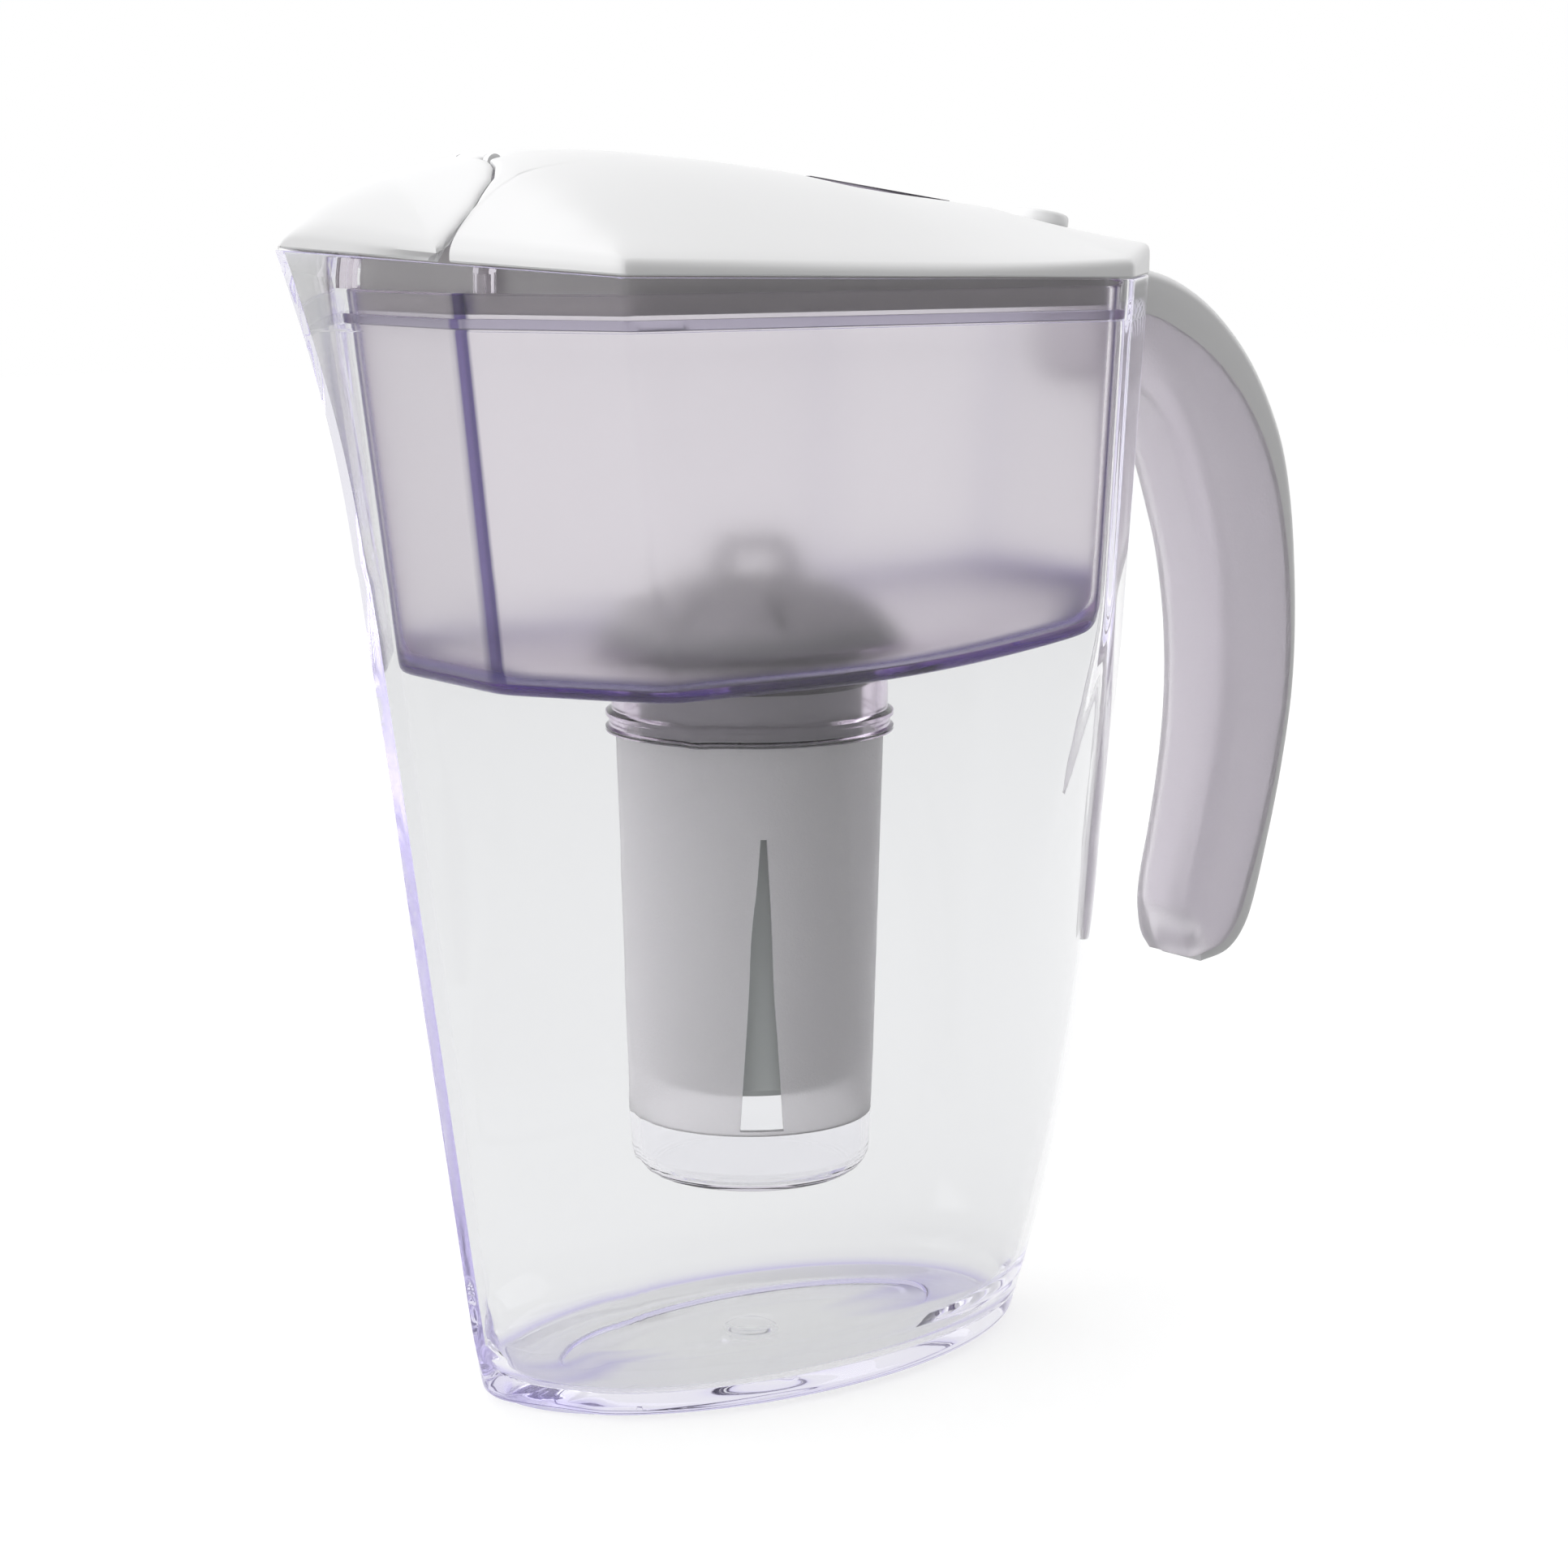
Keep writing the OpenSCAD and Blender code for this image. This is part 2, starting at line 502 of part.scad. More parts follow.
// control points of the ridge line over the rim height
RIDGE = [[-108.2, 7.4], [-105, 10.6], [-101, 14], [-94, 17.5], [-87, 19.8], [-80, 21.6],
    [-72, 23.2], [-65, 24.4], [-58, 25.3], [-50, 25.6],
    [-39, 25.5], [-28, 24.9], [-16, 24], [-4, 22.8], [8, 21.4], [20, 19.2], [33, 17.4], [46, 16], [56, 14.7],
    [64, 13], [76, 10.8], [88.6, 8.4]];
function ridge_z(x) = rim_h + lookup(x, RIDGE) * ridge_h / 25.6;
// height of the top of the outer skirt
EDGE = [[-108, 4.2], [-86, 3.4], [-61, 3], [55, 3.9], [70, 5], [88.4, 6.8]];
function edge_z(x) = rim_z(x) + lookup(x, EDGE);
round_e = 0.4;
function arch(u) = (sqrt(u * u + round_e * round_e) - round_e) / (sqrt(1 + round_e * round_e) - round_e);
function roof(x, y) = let (w = max(0.5, lid_w(x)), u = min(1, abs(y) / w))
    ridge_z(x) - (ridge_z(x) - edge_z(x)) * arch(u);

// plan outline of the cover: body outline at the rim, cut at the front by the flap
CUT = [[-62.4, 0], [-62.4, 4], [-62.4, 7.6], [-66.1, 8.2], [-66.2, 9], [-67.2, 12],
    [-70.3, 16.5], [-77.5, 21.5]];
COVER_TIP = [-84.9, 24.3];
function rim_plan(w) = [for (p = body_ring(rim_h + tilt_z, w)) p];
cover_side = [for (a = fan(corners(rim_h + 2, 0))) if (a < ang(COVER_TIP) - 0.3) a];
function cover_plan(w) = let (
    rim_pts = [for (a = cover_side) let (u = [cos(a), sin(a)]) body_r(rim_h + tilt_z, w, u) * u],
    tip_u = COVER_TIP / norm(COVER_TIP),
    tip = body_r(rim_h + tilt_z, w, tip_u) * tip_u,
    cut_pts = [for (p = CUT) p + [w * 0.8, 0]])
    half_to_full(concat(cut_pts, [tip], rim_pts));
function shrink(plan, q) = [for (p = plan) q * p];
N_CUT = len(CUT);
function is_cut(i, n) = i < N_CUT || i > n - N_CUT;
// the cover's outer edge goes down to the rim, and its front edge only through the roof
function is_tip(i, n) = i == N_CUT || i == n - N_CUT;
function edge_ring(w, out) = let (plan = cover_plan(w), n = len(plan)) [for (i = [0:n - 1]) let (
    p = plan[i],
    low = rim_z(p[0]) + lid_gap,
    z = is_cut(i, n) ? roof(p[0], p[1]) - lid_t * (out ? 0.9 : 1)
        : is_tip(i, n) ? low + (out ? 0.6 : 0.7) : low)
    [p[0], p[1], z]];
function in_ring(w, q, dz) = [for (p = shrink(cover_plan(w), q)) [p[0], p[1], roof(p[0], p[1]) - dz]];
function top_ring(q, dz) = in_ring(0, q, dz);
lid_wall = 1.8;
button_x = 77.5;
roof_tilt = atan((ridge_z(64) - ridge_z(88)) / 24);
window_x = 29.2;
window_tilt = atan((ridge_z(12) - ridge_z(46)) / 34);
module button_axis() {
    translate([button_x, 0, ridge_z(button_x)]) rotate([0, roof_tilt, 0]) children();
}
module window_axis() {
    translate([window_x, 0, ridge_z(window_x)]) rotate([0, window_tilt, 0]) children();
}
module lid_cover() {
    color("white") difference() {
        rings([
            in_ring(lid_wall, 0.12, lid_t), in_ring(lid_wall, 0.3, lid_t), in_ring(lid_wall, 0.5, lid_t),
            in_ring(lid_wall, 0.7, lid_t), in_ring(lid_wall, 0.86, lid_t), in_ring(lid_wall, 1, lid_t + 0.8),
            edge_ring(lid_wall, false), edge_ring(0, true),
            top_ring(1, 1.3), top_ring(0.993, 0.4), top_ring(0.975, 0.05), top_ring(0.93, 0),
            top_ring(0.82, 0),
            top_ring(0.66, 0), top_ring(0.5, 0), top_ring(0.32, 0), top_ring(0.14, 0)]);
        button_axis() translate([0, 0, -8]) cylinder(h = 16, r = button_r + lid_gap, $fn = 64);
        window_axis() translate([-window_l / 2 - lid_gap, -window_w / 2 - lid_gap, -8])
            cube([window_l + 2 * lid_gap, window_w + 2 * lid_gap, 16]);
    }
}

// ---- inner skirt, which drops into the hopper ----
skirt_in = hopper_wall + 0.5;
skirt_low = rim_h - skirt_d;
skirt_top = rim_h + 7;
// it stays below the roof, and lower still under the button
function by_button(p) = p[0] > button_x - 13 && abs(p[1]) < button_r + 5;
function skirt_ring(w) = [for (p = hop_ring(rim_h, w))
    [p[0], p[1], by_button(p) ? rim_h + 0.5 : min(roof(p[0], p[1]) - lid_t - 0.8, skirt_top)]];
module lid_skirt() {
    color([0.62, 0.61, 0.59]) rings([
        hop_flat(skirt_low, skirt_in + skirt_wall),
        hop_flat(skirt_low, skirt_in),
        skirt_ring(skirt_in),
        skirt_ring(skirt_in + skirt_wall)], loop = true);
}

// ---- flap over the beak, with its hinge ----
barrel_r = pin_r + 0.9;
hinge_z = ridge_z(-hinge_x) - barrel_r;
barrel_y = 5.1;
ear_y = 5.5;
ear_t = 1.8;
FLAP = [[-64.5, 0], [-64.5, 5.1], [-66.6, 5.5], [-66.6, 8.8], [-67.7, 11.8],
    [-70.8, 16.1], [-77.8, 21], [-82, 22.2]];
flap_side = [for (i = [0:4]) 180 - (180 - ang([-rim_k_x, 22.4])) * (4 - i) / 5];
function flap_plan(w) = let (
    tip_u = [cos(ang([-rim_k_x, 22.4])), sin(ang([-rim_k_x, 22.4]))],
    rim_pts = [for (a = flap_side) let (u = [cos(a), sin(a)]) body_r(rim_h + tilt_z + 3, w, u) * u],
    cut_pts = [for (p = FLAP) p - [w, 0]])
    flip(half_to_full(concat(cut_pts, [body_r(rim_h + tilt_z + 2, w, tip_u) * tip_u], rim_pts)));
FLAP_C = [-84, 0];
N_FLAP = len(FLAP);
function flap_cut(i, n) = i < N_FLAP - 1 || i > n - 1 - N_FLAP;
function flap_shrink(plan, q) = [for (p = plan) FLAP_C + q * (p - FLAP_C)];
// its rear edge is cut back underneath, and its lower edge is drawn in towards the cover
cheek = 0.13;
function drawn_in(x) = 1 - cheek * min(1, max(0, (x + 98) / 12));
function flap_tip(i, n) = i == N_FLAP - 1 || i == n - 1 - N_FLAP;
function flap_edge(w, out) = let (plan = flap_plan(w), n = len(plan)) [for (i = [0:n - 1]) let (p = plan[i])
    flap_cut(i, n) ? [p[0] - 1.5, p[1], roof(p[0] - 1.5, p[1]) - lid_t * (out ? 0.9 : 1)]
        : [p[0], p[1] * drawn_in(p[0]), rim_z(p[0]) + lid_gap + (flap_tip(i, n) ? 0.4 : 0)]];
function flap_ring(w, q, dz) = [for (p = flap_shrink(flap_plan(w), q)) [p[0], p[1], roof(p[0], p[1]) - dz]];
module spout_flap() {
    color("white") difference() {
        union() {
            rings([
                flap_ring(lid_wall, 0.15, lid_t), flap_ring(lid_wall, 0.5, lid_t),
                flap_ring(lid_wall, 0.8, lid_t),
                flap_ring(lid_wall, 1, lid_t + 0.8), flap_edge(lid_wall, false), flap_edge(0, true),
                flap_ring(0, 1, 1.3), flap_ring(0, 0.97, 0.3), flap_ring(0, 0.88, 0), flap_ring(0, 0.7, 0),
                flap_ring(0, 0.45, 0), flap_ring(0, 0.2, 0)]);
            translate([-hinge_x, barrel_y, hinge_z]) rotate([90, 0, 0])
                cylinder(h = 2 * barrel_y, r = barrel_r, $fn = 48);
        }
        translate([-hinge_x, 9, hinge_z]) rotate([90, 0, 0]) cylinder(h = 18, r = pin_r + 0.06, $fn = 32);
    }
}
module flap_pin() {
    y = ear_y + ear_t;
    color([0.75, 0.75, 0.77]) translate([-hinge_x, y, hinge_z]) rotate([90, 0, 0])
        cylinder(h = 2 * y, r = pin_r, $fn = 32);
}
module lid_hinge_ears() {
    color("white") for (s = [-1, 1]) translate([0, s * (ear_y + ear_t / 2) + ear_t / 2, 0]) difference() {
        union() {
            translate([-hinge_x, 0, hinge_z]) rotate([90, 0, 0]) cylinder(h = ear_t, r = barrel_r, $fn = 48);
            translate([-hinge_x, -ear_t, hinge_z - barrel_r - 0.6]) cube([7, ear_t, 1]);
        }
        translate([-hinge_x, 1, hinge_z]) rotate([90, 0, 0]) cylinder(h = ear_t + 2, r = pin_r, $fn = 32);
    }
}

// ---- indicator window and the pod below it ----
module window_lens() {
    color([0.8, 0.78, 0.84, 0.5]) window_axis()
        translate([-window_l / 2, -window_w / 2, -1.4]) cube([window_l, window_w, 1.6]);
}
module window_bar() {
    color([0.2, 0.2, 0.22]) window_axis()
        translate([window_l / 2 - 6, -window_w / 2 + 2, -2.2]) cube([2, window_w - 4, 0.8]);
}
module indicator_pod() {
    color([0.85, 0.85, 0.85]) window_axis() translate([-window_l / 2 - 2, -window_w / 2 - 2, -10.4])
        difference() {
            cube([window_l + 4, window_w + 4, 7]);
            translate([2.6, 2.6, 1.4]) cube([window_l - 1.2, window_w - 1.2, 7]);
        }
}

// ---- round button, its guide and its spring ----
module counter_button() {
    color("white") button_axis() difference() {
        union() {
            translate([0, 0, button_out - 1]) cylinder(h = 1, r1 = button_r, r2 = button_r - 1, $fn = 64);
            translate([0, 0, -2.6]) cylinder(h = button_out + 1.6, r = button_r, $fn = 64);
        }
        translate([0, 0, -3]) cylinder(h = 3.6, r = button_r - 1.6, $fn = 64);
    }
}
guide_low = -6.5 - button_travel;
guide_high = -3.2;
guide_wall = 0.9;
module button_guide() {
    color([0.9, 0.9, 0.9]) button_axis() difference() {
        translate([0, 0, guide_low])
            cylinder(h = guide_high - guide_low, r = button_r + lid_gap + guide_wall, $fn = 64);
        translate([0, 0, guide_low + 1.4]) cylinder(h = 20, r = button_r + lid_gap, $fn = 64);
    }
}
spring_r = 3.4;
spring_wire = 0.5;
spring_turns = 4;
SPR_N = 12;
spring_low = guide_low + 1.4;
spring_high = 0.5;
function spr(i) = let (a = i * 360 / SPR_N, h = spring_high - spring_low - 2 * spring_wire - 0.2) [
    spring_r * cos(a), spring_r * sin(a), spring_low + spring_wire + 0.1 + h * i / (SPR_N * spring_turns)];
module button_spring() {
    color([0.7, 0.7, 0.72]) button_axis() rings([for (i = [0:SPR_N * spring_turns]) let (
        a = i * 360 / SPR_N, c = spr(i)) [for (b = [0:60:300])
        c + spring_wire * [cos(a) * cos(b), sin(a) * cos(b), sin(b)]]]);
}

pitcher_body();
handle_grip();
handle_cap();
hopper();
hopper_neck();
hopper_catches();
well_tube();
well_cup();
cartridge_shell();
cartridge_dome();
cartridge_tab();
cartridge_seal();
cartridge_screens();
cartridge_media();
lid_cover();
lid_skirt();
lid_hinge_ears();
flap_pin();
spout_flap();
window_lens();
window_bar();
indicator_pod();
counter_button();
button_guide();
button_spring();
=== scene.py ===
import math

import bmesh
import bpy
import numpy as np
from mathutils import Matrix, Vector


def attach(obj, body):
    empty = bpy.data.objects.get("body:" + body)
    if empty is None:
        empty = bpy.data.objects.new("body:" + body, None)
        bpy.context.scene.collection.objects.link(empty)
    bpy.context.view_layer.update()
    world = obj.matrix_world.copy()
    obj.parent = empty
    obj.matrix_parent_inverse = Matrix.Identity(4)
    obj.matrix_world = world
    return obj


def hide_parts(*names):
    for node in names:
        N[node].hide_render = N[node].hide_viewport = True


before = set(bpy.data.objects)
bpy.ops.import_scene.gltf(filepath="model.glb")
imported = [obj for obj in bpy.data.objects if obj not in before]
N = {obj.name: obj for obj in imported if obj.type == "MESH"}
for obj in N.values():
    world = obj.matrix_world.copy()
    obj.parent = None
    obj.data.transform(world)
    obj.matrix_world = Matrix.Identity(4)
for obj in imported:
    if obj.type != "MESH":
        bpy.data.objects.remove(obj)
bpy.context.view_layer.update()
MM = 0.001

# ---------------------------------------------------------------- sizes, as in the part's source (mm)
RIM_H, TILT_Z = 226.9, 1.9
BODY_WALL, BODY_LIP, BODY_FLOOR = 2.4, 1.4, 4.0
BASE_A, BASE_B, BASE_EDGE = 65.0, 38.0, 3.0
SIDE_W, SIDE_S = 49.2, 0.0213
REAR_X, REAR_S, REAR_W = 70.9, 0.077, 24.0
RC_X, RC_S = 47.4, 0.043
NOSE_X, NOSE_S, NOSE_K = 67.1, 0.145, 0.637
NOSE_N = math.sqrt(1 + NOSE_K * NOSE_K)
BEAK_OUT, BEAK_Z = 7.2, 172.0
HOPPER_Z, HOPPER_WALL, HOPPER_GAP, HOPPER_FLOOR = 148.8, 2.0, 0.9, 2.2
FRONT_X, FRONT_S, HOP_NOSE, HOP_NOSE_S = 72.6, 0.122, 84.6, 0.14
SHOULDER_Z, FLANGE_T, FIT = 218.5, 2.0, 0.3
WELL_R = 27.7
LID_T, LID_GAP, LID_WALL = 2.0, 0.3, 1.8
RIM_X0, RIM_X1, BEAK_RISE = -66, 57, 0.116  # the rim is tilted between the two x, and steeper in front of them
BEAK_W, BEAK_H, BEAK_SOFT = 17.6, 61.7, 0.4
ELL_KNEE = 106
BODY_SOFT, HOP_SOFT = 0.5, 0.8  # how far the faces round into each other
FAR = 9999.0  # stands for a line that a direction doesn't reach


# ---------------------------------------------------------------- section of the body
def side_at(z):
    return SIDE_W + SIDE_S * z


def rear_at(z):
    return REAR_X + REAR_S * z


def nose_at(z):
    return NOSE_X + NOSE_S * z


def ell_a(z):
    """Half the length of the oval, which widens again above the knee."""
    if z < ELL_KNEE:
        return BASE_A + 0.36 * z - 0.0017 * z * z
    return BASE_A + 19.06 + 0.0024 * (z - 100) ** 2


def ell_b(z):
    return BASE_B + 0.2 * z - 0.0002 * z * z


def beak_t(z):
    return max(0.0, z - BEAK_Z) / BEAK_H


def beak_y(z):
    return BEAK_W + 0.09 * max(0.0, z - BEAK_Z)


# A line is (nx, ny, distance from the axis), with the wall moved in by w.
def line_side(z, w):
    return (0.0, 1.0, side_at(z) - w)


def line_nose(z, w):
    return (-1 / NOSE_N, NOSE_K / NOSE_N, nose_at(z) / NOSE_N - w)


def line_beak(z, w):
    k = NOSE_K + BEAK_OUT * beak_t(z) ** 2 / beak_y(z)
    n = math.hypot(1, k)
    return (-1 / n, k / n, (nose_at(z) + BEAK_OUT * beak_t(z) ** 2) / n - w)


def line_diag(z, w):
    dx, dy = rear_at(z) - RC_X - RC_S * z, REAR_W - side_at(z)
    n = math.hypot(dx, dy)
    nx, ny = -dy / n, dx / n
    return (nx, ny, nx * rear_at(z) + ny * REAR_W - w)


def line_rear(z, w):
    return (1.0, 0.0, rear_at(z) - w)


def meet(p, q):
    """The direction in which two lines cross."""
    k = p[0] * q[1] - p[1] * q[0]
    return math.atan2((p[0] * q[2] - p[2] * q[0]) / k, (p[2] * q[1] - p[1] * q[2]) / k)


def reach(line, c, s):
    """How far a line is from the axis in the direction (c, s)."""
    k = line[0] * c + line[1] * abs(s)
    return line[2] / k if k > 1e-4 else FAR


def soft_min(values, k):
    """The least of values, rounded over about k mm where two of them are close."""
    lo = min(values)
    return lo - k * math.log(sum(math.exp(-(v - lo) / k) for v in values if v < FAR))


def ell_reach(a, b, c, s):
    return 1 / math.sqrt((c / a) ** 2 + (s / b) ** 2)


def polar(r, a, z):
    return (r * math.cos(a), r * math.sin(a), z)


def body_lines(z, w):
    """The flat faces from the spout to the rear."""
    return [line_nose(z, w), line_side(z, w), line_diag(z, w), line_rear(z, w)]


def body_corners(z, w):
    n, s, d, r = body_lines(z, w)
    first = meet(n, line_beak(z, w)) if beak_t(z) > 0.02 else meet(n, (0.0, 1.0, BEAK_W))
    return [first, meet(n, s), meet(s, d), meet(d, r)]


def body_r(z, w, a):
    """How far the body reaches in the direction a."""
    c, s = math.cos(a), math.sin(a)
    ell = ell_reach(ell_a(z) - w, ell_b(z) - w, c, s)
    nose = reach(line_nose(z, w), c, s)
    if beak_t(z) > 0:
        beak = reach(line_beak(z, w), c, s)
        hi = max(nose, beak)
        if hi < FAR:
            hi += BEAK_SOFT * math.log(sum(math.exp(-(hi - v) / BEAK_SOFT) for v in (nose, beak)))
        nose = hi
    return soft_min([ell, nose] + [reach(l, c, s) for l in body_lines(z, w)[1:]], BODY_SOFT)


def front_lines(z, front, nose):
    """The hopper's flat front and its two nose walls, moved in by front and nose."""
    h = z - HOPPER_Z
    return [(-1.0, 0.0, FRONT_X + FRONT_S * h - front),
            (-1 / NOSE_N, NOSE_K / NOSE_N, (HOP_NOSE + HOP_NOSE_S * h) / NOSE_N - nose)]


def hop_lines(z, w):
    v = BODY_WALL + HOPPER_GAP + w
    return front_lines(z, w, w) + [line_side(z, v), line_diag(z, v), line_rear(z, v)]


def hop_corners(z, w):
    f, n, s, d, r = hop_lines(z, w)
    return [meet(f, n), meet(n, s), meet(s, d), meet(d, r)]


def hop_r(z, w, a):
    c, s = math.cos(a), math.sin(a)
    v = BODY_WALL + HOPPER_GAP + w
    ell = ell_reach(ell_a(z) - v, ell_b(z) - v, c, s)
    return soft_min([ell] + [reach(l, c, s) for l in hop_lines(z, w)], HOP_SOFT)


def spread(a, b, n):
    """n values from a towards b, closer together at both ends."""
    t = (1 - np.cos(np.pi * np.arange(n) / n)) / 2
    return list(a + (b - a) * t)


SEG = (14, 30, 56, 24, 14)  # steps of a ring between its corners, from the spout to the rear


def fan(corners):
    """The directions of half a ring, so that a point falls on each corner."""
    out = []
    ends = [math.pi] + list(corners) + [0.0]
    for i, n in enumerate(SEG):
        out += spread(ends[i], ends[i + 1], n)
    return out + [0.0]


def full(half):
    """A half and its mirror image in y."""
    return half + [(x, -y) + tuple(rest) for x, y, *rest in half[-2:0:-1]]


def ring(fn, corners, z, w):
    return full([polar(fn(z, w, a), a, z) for a in fan(corners(z, w))])


def body_ring(z, w):
    return ring(body_r, body_corners, z, w)


def hop_ring(z, w):
    return ring(hop_r, hop_corners, z, w)


def rim_z(x):
    if x > RIM_X1:
        return RIM_H
    if x > RIM_X0:
        return RIM_H + TILT_Z * (RIM_X1 - x) / (RIM_X1 - RIM_X0)
    return RIM_H + TILT_Z + BEAK_RISE * (RIM_X0 - x)


def rim_ring(w, dz):
    """A ring of the body that follows its rim, dz below it."""
    out = []
    for a in fan(body_corners(RIM_H + TILT_Z, w)):
        r = body_r(RIM_H + TILT_Z, w, a)
        z = rim_z(r * math.cos(a)) - dz
        out.append(polar(body_r(z, w, a), a, z))
    return full(out)


def base_in(z):
    """How far the rounded foot draws the wall in."""
    z = min(z, BASE_EDGE)
    return BASE_EDGE - math.sqrt(max(0.0, BASE_EDGE ** 2 - (BASE_EDGE - z) ** 2))


def ell_ring(a1, b1, z):
    turns = fan(body_corners(BODY_FLOOR, 0.0))
    return full([polar(ell_reach(a1, b1, math.cos(a), math.sin(a)), a, z) for a in turns])


# ---------------------------------------------------------------- mesh helpers
SAME = 2e-6  # points closer than this, in metres, are one


def make(name, body, rings_, mat, loop=False, sharp=28, frost=None, edge=None):
    """A closed surface through rings of equal length, in mm, capped at its two ends or joined as a loop.
    edge(x, y, z) says how much of the painted edge shade a point gets, and frost gives 0 to 1 for each ring."""
    n, m = len(rings_[0]), len(rings_)
    co = np.array([p for r in rings_ for p in r], float)
    faces = []
    for k in range(m if loop else m - 1):
        a0, b0 = k * n, ((k + 1) % m) * n
        for i in range(n):
            q = (i + 1) % n
            faces.append((a0 + i, b0 + i, b0 + q, a0 + q))
    if not loop:
        faces.append(tuple(range(n)))
        faces.append(tuple((m - 1) * n + i for i in reversed(range(n))))
    mesh = bpy.data.meshes.new(name)
    mesh.from_pydata((co * MM).tolist(), [], faces)
    if edge or frost:
        col = mesh.color_attributes.new("mask", "FLOAT_COLOR", "POINT")
        vals = [(edge(*p) if edge else 0.0, frost[k // n] if frost else 0.0, 0.0, 1.0)
                for k, p in enumerate(co)]
        col.data.foreach_set("color", np.array(vals).ravel())
    bm = bmesh.new()
    bm.from_mesh(mesh)
    bmesh.ops.remove_doubles(bm, verts=bm.verts, dist=SAME)
    bmesh.ops.triangulate(bm, faces=[f for f in bm.faces if len(f.verts) > 4])
    bmesh.ops.recalc_face_normals(bm, faces=bm.faces)
    if bm.calc_volume(signed=True) < 0:
        bmesh.ops.reverse_faces(bm, faces=bm.faces)
    bm.to_mesh(mesh)
    bm.free()
    mesh.validate()
    for f in mesh.polygons:
        f.use_smooth = True
    mesh.set_sharp_from_angle(angle=math.radians(sharp))
    ob = bpy.data.objects.new(name, mesh)
    bpy.context.scene.collection.objects.link(ob)
    mesh.materials.append(mat)
    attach(ob, body)
    return ob


def cut(ob, tool):
    """Take tool away from ob, and leave nothing of tool."""
    md = ob.modifiers.new("cut", "BOOLEAN")
    md.operation = "DIFFERENCE"
    md.solver = "EXACT"
    md.object = tool
    bpy.context.view_layer.objects.active = ob
    with bpy.context.temp_override(object=ob, active_object=ob, selected_objects=[ob]):
        bpy.ops.object.modifier_apply(modifier="cut")
    bpy.data.objects.remove(tool)


def solid(verts, faces, place):
    """A tool for cut(), from points in mm at place."""
    mesh = bpy.data.meshes.new("tool")
    mesh.from_pydata(verts, [], faces)
    mesh.transform(Matrix.Scale(MM, 4) @ place)
    ob = bpy.data.objects.new("tool", mesh)
    bpy.context.scene.collection.objects.link(ob)
    return ob


def drum(r, lo, hi, place, n=96):
    verts = [polar(r, 2 * math.pi * i / n, z) for z in (lo, hi) for i in range(n)]
    faces = [tuple(reversed(range(n))), tuple(range(n, 2 * n))]
    faces += [(i, (i + 1) % n, n + (i + 1) % n, n + i) for i in range(n)]
    return solid(verts, faces, place)


def block(x, y, z, place):
    """A box that reaches x, y and z either way."""
    verts = [(p * x, q * y, r * z) for r in (-1, 1) for p, q in ((-1, -1), (1, -1), (1, 1), (-1, 1))]
    faces = [(3, 2, 1, 0), (4, 5, 6, 7), (0, 1, 5, 4), (1, 2, 6, 5), (2, 3, 7, 6), (3, 0, 4, 7)]
    return solid(verts, faces, place)


def turned(profile, n=96):
    """Rings of a turned form from (r, z) pairs."""
    return [[polar(r, 2 * math.pi * i / n, z) for i in range(n)] for r, z in profile]


def moved(rings_, mat4):
    return [[tuple(mat4 @ Vector(p)) for p in r] for r in rings_]


# ---------------------------------------------------------------- materials
def new_mat(name):
    m = bpy.data.materials.new(name)
    m.use_nodes = True
    nt = m.node_tree
    for n in list(nt.nodes):
        if n.type not in ("BSDF_PRINCIPLED", "OUTPUT_MATERIAL"):
            nt.nodes.remove(n)
    return m, nt, nt.nodes["Principled BSDF"], nt.nodes["Material Output"]


def coords(nt):
    return nt.nodes.new("ShaderNodeTexCoord").outputs["Object"]


def noise(nt, vec, scale, detail=3.0, rough=0.5):
    n = nt.nodes.new("ShaderNodeTexNoise")
    n.inputs["Scale"].default_value = scale
    n.inputs["Detail"].default_value = detail
    n.inputs["Roughness"].default_value = rough
    nt.links.new(vec, n.inputs["Vector"])
    return n.outputs["Fac"]


def span(nt, fac, lo, hi, a=0.0, b=1.0):
    """fac from a to b becomes lo to hi."""
    n = nt.nodes.new("ShaderNodeMapRange")
    n.inputs["From Min"].default_value = a
    n.inputs["From Max"].default_value = b
    n.inputs["To Min"].default_value = lo
    n.inputs["To Max"].default_value = hi
    nt.links.new(fac, n.inputs["Value"])
    return n.outputs["Result"]


def bump(nt, bsdf, height, strength, distance):
    b = nt.nodes.new("ShaderNodeBump")
    b.inputs["Strength"].default_value = strength
    b.inputs["Distance"].default_value = distance
    nt.links.new(height, b.inputs["Height"])
    nt.links.new(b.outputs["Normal"], bsdf.inputs["Normal"])


